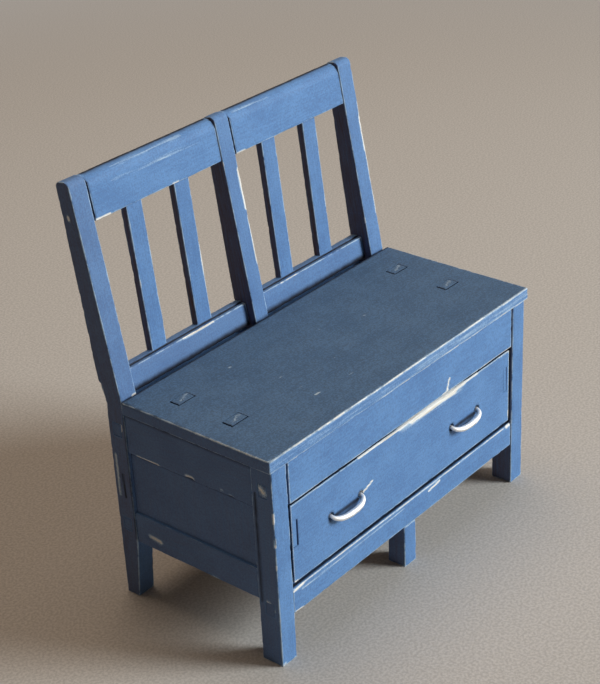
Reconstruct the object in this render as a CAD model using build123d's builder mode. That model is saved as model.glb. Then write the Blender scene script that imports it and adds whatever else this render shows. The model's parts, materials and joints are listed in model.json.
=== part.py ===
from build123d import *
from math import cos, radians, sin
import os

os.makedirs("parts", exist_ok=True)

# A doll's-house bench bed at one to twelve: a panelled carcass on legs, a seat board that
# lifts off, a wide box that pulls out at the front, and a raked back with slats.
# Millimetres. X runs along the bench, Y from front to back, Z up from the floor.
# The origin lies on the floor under the middle of the whole bench.

# Carcass
carcass_width = 72.0  # over the outer faces of the legs
carcass_depth = 36.0  # front legs' front faces to rear legs' back faces
frame_height = 38.0  # floor to the top of legs and upper rails
leg_width = 3.7
front_leg_depth = 4.4
rear_leg_depth = 3.9
rear_foot_depth = 2.9  # the rear legs thin towards the floor
rear_foot_taper = 11.3  # height at which that taper starts
middle_leg_width = 3.4
middle_leg_depth = 3.8
leg_edge = 0.25  # rounding of the legs' long edges

# Rails and panels
apron_height = 8.3
apron_thickness = 3.4
apron_recess = 0.3  # behind the legs' front faces
front_rail_low = 8.5
front_rail_height = 4.9
front_rail_thickness = 3.6
front_rail_recess = 0.2
side_rail_thickness = 2.4
side_rail_recess = 0.2  # inside the legs' outer faces
upper_rail_height = 8.0
lower_rail_low = 12.0
lower_rail_height = 6.0
rear_rail_thickness = 3.4
rear_rail_recess = 0.3  # in front of the legs' back faces
panel_thickness = 1.0
panel_recess = 0.7  # side panels, inside the legs' outer faces
panel_tongue = 0.7  # how far a panel enters its groove
groove_depth = 0.8
rail_edge = 0.2
panel_edge = 0.1

# Joints
joint_gap = 0.04  # all round a tenon or a panel's edge
through_tenon_thickness = 1.8
through_tenon_height = 2.4
side_tenon_length = 0.8
side_tenon_thickness = 1.2
side_tenon_shoulder = 1.2  # above and below the tenon
middle_leg_tenon = 1.6
middle_leg_tenon_length = 2.0

# Seat board with its two battens
seat_thickness = 2.3
seat_end_overhang = 0.6
seat_front_overhang = 0.4
seat_back_gap = 0.25  # to the rear legs
seat_edge = 0.4
batten_width = 3.7
batten_thickness = 2.4
batten_centre_inset = 6.4  # from the legs' outer faces
batten_front_gap = 2.8  # behind the apron
batten_back_gap = 1.6  # in front of the rear rail
peg_spacing = 11.6
peg_length = 2.0

# Pull-out box
drawer_recess = 0.5
drawer_front_thickness = 2.4
drawer_gap_side = 0.4
drawer_gap_above = 0.4
drawer_gap_below = 0.7
drawer_edge = 0.3
drawer_side_inset = 0.5  # from the ends of the front board
drawer_side_thickness = 1.6
drawer_side_drop = 3.0  # below the apron
drawer_end_gap = 0.3  # to the rear legs when pushed home
drawer_tenon_thickness = 1.0
drawer_tenon_height = 5.0
drawer_tenon_drop = 0.8  # below the side's upper edge
drawer_back_thickness = 1.6
drawer_back_setback = 1.0  # from the sides' rear ends
drawer_back_drop = 0.8  # below the sides' upper edge
drawer_bottom_thickness = 1.0
drawer_bottom_lift = 1.4  # above the sides' lower edge
drawer_groove = 0.7
slide_gap = 0.25  # box sides above the front rail
runner_gap = 0.15  # box sides above the runners
guide_gap = 0.2  # beside the box
runner_width = 4.0
runner_height = 1.5
guide_rise = 2.5

# Wire handles
wire_diameter = 1.1
handle_spread = 8.0  # between the two ends
handle_bow = 1.55  # wire's centre line in front of the board
handle_corner = 0.8
handle_shoulder = 1.8  # from each end to the straight middle
handle_shoulder_bow = 1.0
handle_shoulder_bend = 1.8
handle_clinch = 1.3  # bent-over end behind the board
handle_clinch_bend = 0.65
handle_hole_diameter = 1.5
handle_end_inset = 18.7  # middle of a handle from the legs' outer faces

# Back
rake = 10.15  # degrees that the posts lean back
rake_start = 0.6  # above the frame
post_root_depth = 4.6
post_root_rise = 3.2  # along the rake, where the full depth is reached
post_tip_depth = 3.0
post_height = 39.5  # along the rake
post_front_round = 1.2
post_rear_round = 0.9
middle_post_width = 3.4
middle_post_tenon_width = 1.8
middle_post_tenon_depth = 1.6
middle_post_tenon_length = 3.5
post_edge = 0.2
crest_inset = 0.15  # behind the posts' front faces
crest_thickness = 2.7
crest_low = 31.6  # along the rake
crest_drop = 0.15  # below the posts' tops
crest_front_round = 2.0
crest_rear_round = 0.6
crest_flat = 0.1  # least width left between the two rounds
back_tenon_length = 1.2
back_tenon_shoulder = 1.0
back_tenon_thickness = 1.2
back_rail_inset = 1.6
back_rail_thickness = 2.6
back_rail_low = 0.8
back_rail_high = 5.1
back_rail_ledge = 1.1
back_rail_step = 0.3
slat_width = 3.6
slat_thickness = 1.5
slat_top_inset = 0.9  # slats' front behind the posts' front, at the crest
slat_housing = 1.0  # length let into crest and lower rail
slat_edge = 0.15
slats_per_bay = 2

sides = {"left": -1, "right": 1}

# Places worked out from the sizes above
half_width = carcass_width / 2
inner_x = half_width - leg_width
handle_reach = handle_bow + wire_diameter / 2 - drawer_recess
post_reach = post_height * sin(radians(rake)) + post_tip_depth * cos(radians(rake))
back_reach = carcass_depth - rear_leg_depth + post_reach
front_y = (handle_reach - back_reach) / 2
rear_y = front_y + carcass_depth
front_leg_back = front_y + front_leg_depth
rear_leg_front = rear_y - rear_leg_depth
rear_rail_back = rear_y - rear_rail_recess
rear_rail_front = rear_rail_back - rear_rail_thickness
rake_z = frame_height + rake_start
apron_low = frame_height - apron_height
upper_rail_low = frame_height - upper_rail_height
lower_rail_high = lower_rail_low + lower_rail_height
front_rail_high = front_rail_low + front_rail_height
apron_y = (front_y + apron_recess, front_y + apron_recess + apron_thickness)
front_rail_y = (front_y + front_rail_recess, front_y + front_rail_recess + front_rail_thickness)
rear_rail_y = (rear_rail_front, rear_rail_back)
side_rail_x = (half_width - side_rail_recess - side_rail_thickness, half_width - side_rail_recess)
panel_x = (half_width - panel_recess - panel_thickness, half_width - panel_recess)
seat_top = frame_height + seat_thickness


def middle(span):
    """Centre of a span, which is a pair of limits along one axis."""
    return (span[0] + span[1]) / 2


def around(centre, length):
    """Span of a length about its centre."""
    return (centre - length / 2, centre + length / 2)


def grown(span, extra):
    """Span made longer at both ends."""
    return (min(span) - extra, max(span) + extra)


def block(x, y, z, mode=Mode.ADD):
    """Add or cut a box in the open part, from its spans along X, Y and Z."""
    with Locations((middle(x), middle(y), middle(z))):
        Box(abs(x[1] - x[0]), abs(y[1] - y[0]), abs(z[1] - z[0]), mode=mode)


def mirrored(span, sign):
    """Span on the left of the middle plane with a sign of -1, on the right with 1."""
    return (sign * span[0], sign * span[1])


def raked(depth, along):
    """Y and Z of a point behind the posts' front plane, a length up along the rake."""
    angle = radians(rake)
    y = rear_leg_front + depth * cos(angle) + along * sin(angle)
    z = rake_z - depth * sin(angle) + along * cos(angle)
    return (y, z)


def round_top(section, front_round, rear_round):
    """Round a raked section's two top corners, of which the front one stands higher."""
    fillet(section.vertices().sort_by(Axis.Y)[-2], rear_round)
    fillet(section.vertices().sort_by(Axis.Y)[-1], front_round)


# Every horizontal member that runs along the bench and passes through the legs.
# Each entry holds the member's Y and Z spans.
through_rails = {
    "apron": (apron_y, (apron_low, frame_height)),
    "rail_front_lower": (front_rail_y, (front_rail_low, front_rail_high)),
    "rail_rear_upper": (rear_rail_y, (upper_rail_low, frame_height)),
    "rail_rear_lower": (rear_rail_y, (lower_rail_low, lower_rail_high)),
}


def through_tenon(y, z):
    """Y and Z spans of the tenon in the middle of a member's end."""
    return around(middle(y), through_tenon_thickness), around(middle(z), through_tenon_height)


def side_tenon(z):
    """X and Z spans of the short tenon at a side rail's end."""
    x = around(middle(side_rail_x), side_tenon_thickness)
    return x, (z[0] + side_tenon_shoulder, z[1] - side_tenon_shoulder)


side_rails = {
    "lower": (lower_rail_low, lower_rail_high),
    "upper": (upper_rail_low, frame_height),
}
panel_opening_z = (lower_rail_high, upper_rail_low)
panel_groove_z = grown(panel_opening_z, groove_depth)
leg_x = (inner_x, half_width)
middle_post_x = around(0, middle_post_width)
middle_tenon_x = around(0, middle_leg_tenon)
middle_leg_y = (front_rail_y[0], front_rail_y[0] + middle_leg_depth)
middle_tenon_y = around(middle(middle_leg_y), middle_leg_tenon)
middle_tenon_z = (front_rail_low, front_rail_low + middle_leg_tenon_length)
rear_panel_y = around(middle(rear_rail_y), panel_thickness)
post_tenon_x = around(0, middle_post_tenon_width)
post_tenon_y = around(middle(rear_rail_y), middle_post_tenon_depth)
post_tenon_z = (frame_height - middle_post_tenon_length, frame_height)

# The two bays of the back lie between an end post and the middle post.
bays = {
    "left": (-inner_x, middle_post_x[0]),
    "right": (middle_post_x[1], inner_x),
}
crest_high = post_height - crest_drop
crest_nose = min(crest_front_round, crest_thickness - crest_rear_round - crest_flat)
crest_tenon = (crest_low + back_tenon_shoulder, crest_high - crest_nose - back_tenon_shoulder)
crest_tenon_depth = around(crest_inset + crest_thickness / 2, back_tenon_thickness)
back_rail_tenon = grown((back_rail_low, back_rail_high), -back_tenon_shoulder / 2)
back_rail_tenon_depth = around(back_rail_inset + back_rail_thickness / 2, back_tenon_thickness)

# A slat's centre line, from inside the lower rail to inside the crest
slat_foot_inset = back_rail_inset + back_rail_ledge
slat_foot = Vector(0, *raked(slat_foot_inset + slat_thickness / 2, back_rail_high + back_rail_step))
slat_head = Vector(0, *raked(slat_top_inset + slat_thickness / 2, crest_low))
slat_direction = (slat_head - slat_foot).normalized()
slat_start = slat_foot - slat_direction * slat_housing
slat_length = (slat_head - slat_foot).length + 2 * slat_housing


def slat_plane(x):
    """Plane across a slat's lower end, with the slat rising along its normal."""
    start = Vector(x, slat_start.Y, slat_start.Z)
    return Plane(origin=start, x_dir=(1, 0, 0), z_dir=slat_direction)


def slat_centres(bay):
    """Even spacing of the slats across a bay."""
    gap = (bay[1] - bay[0] - slats_per_bay * slat_width) / (slats_per_bay + 1)
    return [bay[0] + gap + slat_width / 2 + n * (gap + slat_width) for n in range(slats_per_bay)]


def tongue(x, depth, along, extra, mode):
    """Add or cut a tenon that lies in the rake, from its spans along X, depth and rake."""
    near, far = grown(depth, extra)
    low, high = grown(along, extra)
    corners = [raked(near, low), raked(far, low), raked(far, high), raked(near, high)]
    with BuildPart(mode=Mode.PRIVATE) as tenon:
        with BuildSketch(Plane.YZ.offset(min(x))):
            with BuildLine():
                Polyline(*corners, close=True)
            make_face()
        extrude(amount=abs(x[1] - x[0]))
    add(tenon.part, mode=mode)


# Front legs, with mortises for the apron and the front rail and a groove for the side panel
for side, sign in sides.items():
    with BuildPart() as leg:
        with BuildSketch():
            with Locations((sign * middle(leg_x), front_y + front_leg_depth / 2)):
                RectangleRounded(leg_width, front_leg_depth, leg_edge)
        extrude(amount=frame_height)
        for name in ("apron", "rail_front_lower"):
            y, z = through_tenon(*through_rails[name])
            x = grown(mirrored(leg_x, sign), 1)
            block(x, grown(y, joint_gap), grown(z, joint_gap), Mode.SUBTRACT)
        for rail_z in side_rails.values():
            x, z = side_tenon(rail_z)
            y = (front_leg_back - side_tenon_length - joint_gap, front_leg_back)
            block(mirrored(grown(x, joint_gap), sign), y, grown(z, joint_gap), Mode.SUBTRACT)
        x = mirrored(grown(panel_x, joint_gap), sign)
        block(x, (front_leg_back - groove_depth, front_leg_back), panel_groove_z, Mode.SUBTRACT)
    leg.part.label = f"leg_front_{side}"
    export_step(leg.part, f"parts/leg_front_{side}.step")

# Rear legs, each in one piece with its raked back post
for side, sign in sides.items():
    with BuildPart() as leg:
        with BuildSketch(Plane.YZ.offset(min(mirrored(leg_x, sign)))) as leg_section:
            with BuildLine():
                Polyline(
                    (rear_y, 0),
                    (rear_y - rear_foot_depth, 0),
                    (rear_leg_front, rear_foot_taper),
                    (rear_leg_front, rake_z),
                    raked(0, post_height),
                    raked(post_tip_depth, post_height),
                    raked(post_root_depth, post_root_rise),
                    (rear_y, frame_height),
                    close=True,
                )
            make_face()
            round_top(leg_section, post_front_round, post_rear_round)
        extrude(amount=leg_width)
        fillet(leg.faces().filter_by(Axis.X).edges(), post_edge)
        for name in ("rail_rear_upper", "rail_rear_lower"):
            y, z = through_tenon(*through_rails[name])
            x = grown(mirrored(leg_x, sign), 1)
            block(x, grown(y, joint_gap), grown(z, joint_gap), Mode.SUBTRACT)
        for rail_z in side_rails.values():
            x, z = side_tenon(rail_z)
            y = (rear_leg_front, rear_leg_front + side_tenon_length + joint_gap)
            block(mirrored(grown(x, joint_gap), sign), y, grown(z, joint_gap), Mode.SUBTRACT)
        x = mirrored(grown(panel_x, joint_gap), sign)
        block(x, (rear_leg_front, rear_leg_front + groove_depth), panel_groove_z, Mode.SUBTRACT)
        x = mirrored((inner_x, inner_x + groove_depth), sign)
        block(x, grown(rear_panel_y, joint_gap), panel_groove_z, Mode.SUBTRACT)
        x = mirrored((inner_x, inner_x + back_tenon_length + joint_gap), sign)
        tongue(x, crest_tenon_depth, crest_tenon, joint_gap, Mode.SUBTRACT)
        tongue(x, back_rail_tenon_depth, back_rail_tenon, joint_gap, Mode.SUBTRACT)
    leg.part.label = f"leg_rear_{side}"
    export_step(leg.part, f"parts/leg_rear_{side}.step")

# Short middle leg, tenoned up into the front rail
with BuildPart() as leg_middle:
    with BuildSketch():
        with Locations((0, middle(middle_leg_y))):
            RectangleRounded(middle_leg_width, middle_leg_depth, leg_edge)
    extrude(amount=front_rail_low)
    block(middle_tenon_x, middle_tenon_y, middle_tenon_z)
leg_middle.part.label = "leg_middle"
export_step(leg_middle.part, "parts/leg_middle.step")

# Apron and long rails
for name, (y, z) in through_rails.items():
    with BuildPart() as rail:
        block((-inner_x, inner_x), y, z)
        fillet(rail.edges().filter_by(Axis.X), rail_edge)
        tenon_y, tenon_z = through_tenon(y, z)
        block((-half_width, half_width), tenon_y, tenon_z)
        if name == "rail_front_lower":
            mortise_z = (middle_tenon_z[0], middle_tenon_z[1] + joint_gap)
            mortise_x = grown(middle_tenon_x, joint_gap)
            block(mortise_x, grown(middle_tenon_y, joint_gap), mortise_z, Mode.SUBTRACT)
        if name == "rail_rear_upper":
            mortise_z = (post_tenon_z[0] - joint_gap, post_tenon_z[1])
            mortise_x = grown(post_tenon_x, joint_gap)
            block(mortise_x, grown(post_tenon_y, joint_gap), mortise_z, Mode.SUBTRACT)
            groove_z = (z[0], z[0] + groove_depth)
            block((-inner_x, inner_x), grown(rear_panel_y, joint_gap), groove_z, Mode.SUBTRACT)
        if name == "rail_rear_lower":
            groove_z = (z[1] - groove_depth, z[1])
            block((-inner_x, inner_x), grown(rear_panel_y, joint_gap), groove_z, Mode.SUBTRACT)
    rail.part.label = name
    export_step(rail.part, f"parts/{name}.step")

# Rear panel, loose in its grooves
with BuildPart() as panel_rear:
    block(grown((-inner_x, inner_x), panel_tongue), rear_panel_y, grown(panel_opening_z, panel_tongue))
    fillet(panel_rear.edges().filter_by(Axis.Z), panel_edge)
panel_rear.part.label = "panel_rear"
export_step(panel_rear.part, "parts/panel_rear.step")

# Side rails and side panels
side_bay_y = (front_leg_back, rear_leg_front)
for side, sign in sides.items():
    for level, z in side_rails.items():
        with BuildPart() as rail:
            block(mirrored(side_rail_x, sign), side_bay_y, z)
            fillet(rail.edges().filter_by(Axis.Y), rail_edge)
            tenon_x, tenon_z = side_tenon(z)
            block(mirrored(tenon_x, sign), grown(side_bay_y, side_tenon_length), tenon_z)
            inner_edge = z[1] if level == "lower" else z[0]
            groove_end = inner_edge - groove_depth if level == "lower" else inner_edge + groove_depth
            groove_x = mirrored(grown(panel_x, joint_gap), sign)
            block(groove_x, side_bay_y, (inner_edge, groove_end), Mode.SUBTRACT)
        rail.part.label = f"rail_side_{level}_{side}"
        export_step(rail.part, f"parts/rail_side_{level}_{side}.step")
    with BuildPart() as panel:
        panel_y = grown(side_bay_y, panel_tongue)
        block(mirrored(panel_x, sign), panel_y, grown(panel_opening_z, panel_tongue))
        fillet(panel.edges().filter_by(Axis.Z), panel_edge)
    panel.part.label = f"panel_side_{side}"
    export_step(panel.part, f"parts/panel_side_{side}.step")

# Pull-out box: sizes that its pieces share
drawer_x = inner_x - drawer_gap_side
drawer_front_y = (front_y + drawer_recess, front_y + drawer_recess + drawer_front_thickness)
drawer_front_z = (front_rail_high + drawer_gap_below, apron_low - drawer_gap_above)
drawer_side_low = front_rail_high + slide_gap
drawer_side_high = apron_low - drawer_side_drop
drawer_side_z = (drawer_side_low, drawer_side_high)
drawer_side_x = (drawer_x - drawer_side_inset - drawer_side_thickness, drawer_x - drawer_side_inset)
drawer_side_y = (drawer_front_y[1], rear_leg_front - drawer_end_gap)
drawer_tenon_x = around(middle(drawer_side_x), drawer_tenon_thickness)
drawer_tenon_top = drawer_side_high - drawer_tenon_drop
drawer_tenon_z = (drawer_tenon_top - drawer_tenon_height, drawer_tenon_top)
drawer_back_far = drawer_side_y[1] - drawer_back_setback
drawer_back_y = (drawer_back_far - drawer_back_thickness, drawer_back_far)
drawer_bottom_low = drawer_side_low + drawer_bottom_lift
drawer_bottom_z = (drawer_bottom_low, drawer_bottom_low + drawer_bottom_thickness)
drawer_groove_z = grown(drawer_bottom_z, joint_gap)
drawer_tongue = drawer_groove - joint_gap
handle_x = half_width - handle_end_inset
handle_z = middle(drawer_front_z)

# Front board, with through mortises at the sides, a groove for the bottom and four wire holes
with BuildPart() as drawer_front:
    block((-drawer_x, drawer_x), drawer_front_y, drawer_front_z)
    fillet(drawer_front.edges().filter_by(Axis.X), drawer_edge)
    for sign in sides.values():
        x = mirrored(grown(drawer_tenon_x, joint_gap), sign)
        block(x, grown(drawer_front_y, 1), grown(drawer_tenon_z, joint_gap), Mode.SUBTRACT)
    groove_y = (drawer_front_y[1] - drawer_groove, drawer_front_y[1])
    groove_x = grown((-drawer_side_x[0], drawer_side_x[0]), drawer_groove)
    block(groove_x, groove_y, drawer_groove_z, Mode.SUBTRACT)
    with BuildSketch(Plane.XZ.offset(-drawer_front_y[1])):
        for sign in sides.values():
            with Locations((sign * handle_x, handle_z)):
                with GridLocations(handle_spread, 0, 2, 1):
                    Circle(handle_hole_diameter / 2)
    extrude(amount=drawer_front_thickness, mode=Mode.SUBTRACT)
drawer_front.part.label = "drawer_front"
export_step(drawer_front.part, "parts/drawer_front.step")

# Box sides, each with a tenon that shows as a slim end in the front board
for side, sign in sides.items():
    with BuildPart() as drawer_side:
        block(mirrored(drawer_side_x, sign), drawer_side_y, drawer_side_z)
        fillet(drawer_side.edges().filter_by(Axis.Y).group_by(Axis.Z)[-1], panel_edge)
        tenon_y = (drawer_front_y[0], drawer_side_y[0])
        block(mirrored(drawer_tenon_x, sign), tenon_y, drawer_tenon_z)
        groove_x = mirrored((drawer_side_x[0], drawer_side_x[0] + drawer_groove), sign)
        block(groove_x, drawer_side_y, drawer_groove_z, Mode.SUBTRACT)
    drawer_side.part.label = f"drawer_side_{side}"
    export_step(drawer_side.part, f"parts/drawer_side_{side}.step")

# Box back, let in between the sides and resting on the bottom board
with BuildPart() as drawer_back:
    back_z = (drawer_bottom_z[1], drawer_side_z[1] - drawer_back_drop)
    block((-drawer_side_x[0], drawer_side_x[0]), drawer_back_y, back_z)
    fillet(drawer_back.edges().filter_by(Axis.X).group_by(Axis.Z)[-1], panel_edge)
drawer_back.part.label = "drawer_back"
export_step(drawer_back.part, "parts/drawer_back.step")

# Box bottom, in the grooves of front and sides and running out under the back
with BuildPart() as drawer_bottom:
    bottom_x = grown((-drawer_side_x[0], drawer_side_x[0]), drawer_tongue)
    block(bottom_x, (drawer_front_y[1] - drawer_tongue, drawer_back_y[1]), drawer_bottom_z)
drawer_bottom.part.label = "drawer_bottom"
export_step(drawer_bottom.part, "parts/drawer_bottom.step")

# A runner under each box side, and on it a guide strip that keeps the box in line
runner_top = drawer_side_low - runner_gap
runner_x = (side_rail_x[0] - runner_width, side_rail_x[0])
guide_x = (drawer_side_x[1] + guide_gap, side_rail_x[0])
for side, sign in sides.items():
    with BuildPart() as runner:
        block(mirrored(runner_x, sign), side_bay_y, (runner_top - runner_height, runner_top))
    runner.part.label = f"runner_{side}"
    export_step(runner.part, f"parts/runner_{side}.step")
    with BuildPart() as guide:
        block(mirrored(guide_x, sign), side_bay_y, (runner_top, runner_top + guide_rise))
    guide.part.label = f"guide_{side}"
    export_step(guide.part, f"parts/guide_{side}.step")

# Wire handles: the ends pass through the front board and are bent over behind it
wire_radius = wire_diameter / 2
clinch_y = drawer_front_y[1] + wire_radius + joint_gap
for side, sign in sides.items():
    outer = handle_spread / 2
    shoulder = outer - handle_shoulder
    bend_y = drawer_front_y[0] - handle_shoulder_bow
    bow_y = drawer_front_y[0] - handle_bow
    half_route = [(outer - handle_clinch, clinch_y), (outer, clinch_y), (outer, bend_y), (shoulder, bow_y)]
    route = [(-x, y) for x, y in half_route] + [(x, y) for x, y in reversed(half_route)]
    points = [(sign * handle_x + x, y, handle_z) for x, y in route]
    half_bends = [handle_clinch_bend, handle_corner, handle_shoulder_bend]
    with BuildPart() as handle:
        with BuildLine() as path:
            FilletPolyline(*points, radius=half_bends + half_bends[::-1])
        with BuildSketch(Plane(origin=path.line @ 0, z_dir=path.line % 0)):
            Circle(wire_radius)
        sweep()
    handle.part.label = f"handle_{side}"
    export_step(handle.part, f"parts/handle_{side}.step")

# Seat board, with the four mortises that show the battens' pegs
seat_x = (-half_width - seat_end_overhang, half_width + seat_end_overhang)
seat_y = (front_y - seat_front_overhang, rear_leg_front - seat_back_gap)
batten_x = around(half_width - batten_centre_inset, batten_width)
batten_y = (apron_y[1] + batten_front_gap, rear_rail_front - batten_back_gap)
pegs = [around(middle(batten_y) + end * peg_spacing / 2, peg_length) for end in (-1, 1)]
with BuildPart() as seat_board:
    block(seat_x, seat_y, (frame_height, seat_top))
    fillet(seat_board.edges(), seat_edge)
    for sign in sides.values():
        for peg_y in pegs:
            x = mirrored(grown(batten_x, joint_gap), sign)
            block(x, grown(peg_y, joint_gap), (frame_height, seat_top), Mode.SUBTRACT)
seat_board.part.label = "seat_board"
export_step(seat_board.part, "parts/seat_board.step")

# Battens under the seat board, which keep it in place between the rails
for side, sign in sides.items():
    with BuildPart() as batten:
        block(mirrored(batten_x, sign), batten_y, (frame_height - batten_thickness, frame_height))
        fillet(batten.edges().filter_by(Axis.Y).group_by(Axis.Z)[0], rail_edge)
        for peg_y in pegs:
            block(mirrored(batten_x, sign), peg_y, (frame_height, seat_top))
    batten.part.label = f"batten_{side}"
    export_step(batten.part, f"parts/batten_{side}.step")

# Middle post, standing on the rear rail
with BuildPart() as post_middle:
    with BuildSketch(Plane.YZ.offset(middle_post_x[0])) as post_section:
        with BuildLine():
            Polyline(
                (rear_y, frame_height),
                (rear_leg_front, frame_height),
                (rear_leg_front, rake_z),
                raked(0, post_height),
                raked(post_tip_depth, post_height),
                raked(post_root_depth, post_root_rise),
                close=True,
            )
        make_face()
        round_top(post_section, post_front_round, post_rear_round)
    extrude(amount=middle_post_width)
    long_edges = post_middle.faces().filter_by(Axis.X).edges().sort_by(Axis.Z)[2:]
    fillet(long_edges, post_edge)
    block(post_tenon_x, post_tenon_y, post_tenon_z)
    for sign in sides.values():
        x = mirrored((middle_post_x[1] - back_tenon_length - joint_gap, middle_post_x[1]), sign)
        tongue(x, crest_tenon_depth, crest_tenon, joint_gap, Mode.SUBTRACT)
        tongue(x, back_rail_tenon_depth, back_rail_tenon, joint_gap, Mode.SUBTRACT)
post_middle.part.label = "post_middle"
export_step(post_middle.part, "parts/post_middle.step")

# Crests, lower back rails and slats, bay by bay
slat_number = 0
for side, bay in bays.items():
    bay_width = bay[1] - bay[0]
    with BuildPart() as crest:
        near, far = crest_inset, crest_inset + crest_thickness
        with BuildSketch(Plane.YZ.offset(bay[0])) as crest_section:
            with BuildLine():
                Polyline(
                    raked(near, crest_low),
                    raked(near, crest_high),
                    raked(far, crest_high),
                    raked(far, crest_low),
                    close=True,
                )
            make_face()
            round_top(crest_section, crest_nose, crest_rear_round)
            fillet(crest_section.vertices().sort_by(Axis.Y)[:2], rail_edge)
        extrude(amount=bay_width)
        tongue(grown(bay, back_tenon_length), crest_tenon_depth, crest_tenon, 0, Mode.ADD)
        for x in slat_centres(bay):
            with BuildSketch(slat_plane(x)):
                Rectangle(slat_width + 2 * joint_gap, slat_thickness + 2 * joint_gap)
            extrude(amount=slat_length + joint_gap, mode=Mode.SUBTRACT)
    crest.part.label = f"crest_{side}"
    export_step(crest.part, f"parts/crest_{side}.step")

    with BuildPart() as rail:
        near, far = back_rail_inset, back_rail_inset + back_rail_thickness
        with BuildSketch(Plane.YZ.offset(bay[0])) as rail_section:
            with BuildLine():
                Polyline(
                    raked(near, back_rail_low),
                    raked(near, back_rail_high),
                    raked(slat_foot_inset, back_rail_high),
                    raked(slat_foot_inset, back_rail_high + back_rail_step),
                    raked(far, back_rail_high + back_rail_step),
                    raked(far, back_rail_low),
                    close=True,
                )
            make_face()
            fillet(rail_section.vertices().sort_by(Axis.Y)[:2], rail_edge)
        extrude(amount=bay_width)
        tongue(grown(bay, back_tenon_length), back_rail_tenon_depth, back_rail_tenon, 0, Mode.ADD)
        for x in slat_centres(bay):
            with BuildSketch(slat_plane(x).offset(-joint_gap)):
                Rectangle(slat_width + 2 * joint_gap, slat_thickness + 2 * joint_gap)
            extrude(amount=slat_length, mode=Mode.SUBTRACT)
    rail.part.label = f"back_rail_{side}"
    export_step(rail.part, f"parts/back_rail_{side}.step")

    for x in slat_centres(bay):
        slat_number += 1
        with BuildPart() as slat:
            with BuildSketch(slat_plane(x)):
                RectangleRounded(slat_width, slat_thickness, slat_edge)
            extrude(amount=slat_length)
        slat.part.label = f"slat_{slat_number}"
        export_step(slat.part, f"parts/slat_{slat_number}.step")
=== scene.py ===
import functools
import itertools
import json

import bpy
import numpy as np
from mathutils import Matrix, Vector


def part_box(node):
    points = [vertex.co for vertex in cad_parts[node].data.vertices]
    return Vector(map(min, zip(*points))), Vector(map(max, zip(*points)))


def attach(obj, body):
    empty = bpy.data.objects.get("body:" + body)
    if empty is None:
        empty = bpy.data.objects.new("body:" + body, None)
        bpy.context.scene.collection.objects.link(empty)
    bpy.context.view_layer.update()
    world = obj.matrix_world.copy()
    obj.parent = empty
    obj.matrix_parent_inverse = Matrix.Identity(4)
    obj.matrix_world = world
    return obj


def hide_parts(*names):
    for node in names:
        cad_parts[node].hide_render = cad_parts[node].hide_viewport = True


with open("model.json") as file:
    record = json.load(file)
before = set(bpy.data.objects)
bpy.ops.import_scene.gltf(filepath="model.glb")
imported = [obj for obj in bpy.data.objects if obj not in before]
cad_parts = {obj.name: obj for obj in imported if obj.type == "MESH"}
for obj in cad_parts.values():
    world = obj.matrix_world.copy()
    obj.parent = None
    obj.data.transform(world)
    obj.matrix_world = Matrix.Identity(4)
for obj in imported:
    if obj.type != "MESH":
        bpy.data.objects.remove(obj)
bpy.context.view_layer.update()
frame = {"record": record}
bodyOf = {node: body for body, nodes in frame["record"]["behaviour"]["bodies"].items() for node in nodes}
millimetre = 0.001  # the shapes below are worked out in millimetres
sides = {"left": -1, "right": 1}


def nodeBox(node):
    low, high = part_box(node)
    return np.array(low) / millimetre, np.array(high) / millimetre


backValues = {
    "rake": 10.15,  # degrees that the posts lean back
    "rakeStart": 0.6,  # above the carcass
    "setBack": 0.3,  # from the rear rails to the rear of the legs
    "footDepth": 2.9,  # of the rear legs, front to back, on the floor
    "footTaper": 11.3,  # height at which the rear legs start to thin
    "rootDepth": 4.6,  # of the posts, above the carcass
    "rootRise": 3.2,
    "tipDepth": 3.0,
    "height": 39.5,  # along the rake
    "frontRound": 1.2,
    "rearRound": 0.9,
}

# Places that many pieces share, read from the frame
legLow, legHigh = nodeBox("leg_front_right")
postLow, postHigh = nodeBox("post_middle")
innerX, halfWidth = legLow[0], legHigh[0]
frameTop = legHigh[2]
rearFront = nodeBox("leg_rear_right")[0][1]
rearBack = nodeBox("rail_rear_upper")[1][1] + backValues["setBack"]
rake = np.radians(backValues["rake"])
rakeSine, rakeCosine = np.sin(rake), np.cos(rake)
rakeOrigin = np.array([0, rearFront, frameTop + backValues["rakeStart"]])

# How far the random fields are shifted, so that no two pieces or arrises look alike
noiseShift = np.array([53.0, 31.0, 17.0])  # from one piece's grain to the next
arrisShift, seedShift = 37.0, 3.1  # from one arris's width to the next, and from piece to piece
smoothAngle = np.radians(40)  # sharper folds than this stay sharp


# A smooth random field of about -1 to 1: the sum of sine waves that run in random directions, each
# with a length near waveLength.
def sineField(points, waveLength, seed, waves=20):
    draw = np.random.default_rng(seed)
    directions = draw.normal(size=(waves, 3))
    directions /= np.linalg.norm(directions, axis=1)[:, None]
    lengths = waveLength * draw.uniform(0.6, 1.6, waves)
    phases = draw.uniform(0, 2 * np.pi, waves)
    turns = points @ (directions * (2 * np.pi / lengths)[:, None]).T + phases
    return np.sin(turns).sum(axis=-1) * 0.9 / np.sqrt(waves)


# Distance from points to the straight segment between start and end.
def segmentDistance(points, start, end):
    start, end = np.array(start, float), np.array(end, float)
    run = end - start
    share = np.clip((points - start) @ run / max(run @ run, 1e-9), 0, 1)
    return np.linalg.norm(points - start - share[..., None] * run, axis=-1)


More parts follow.
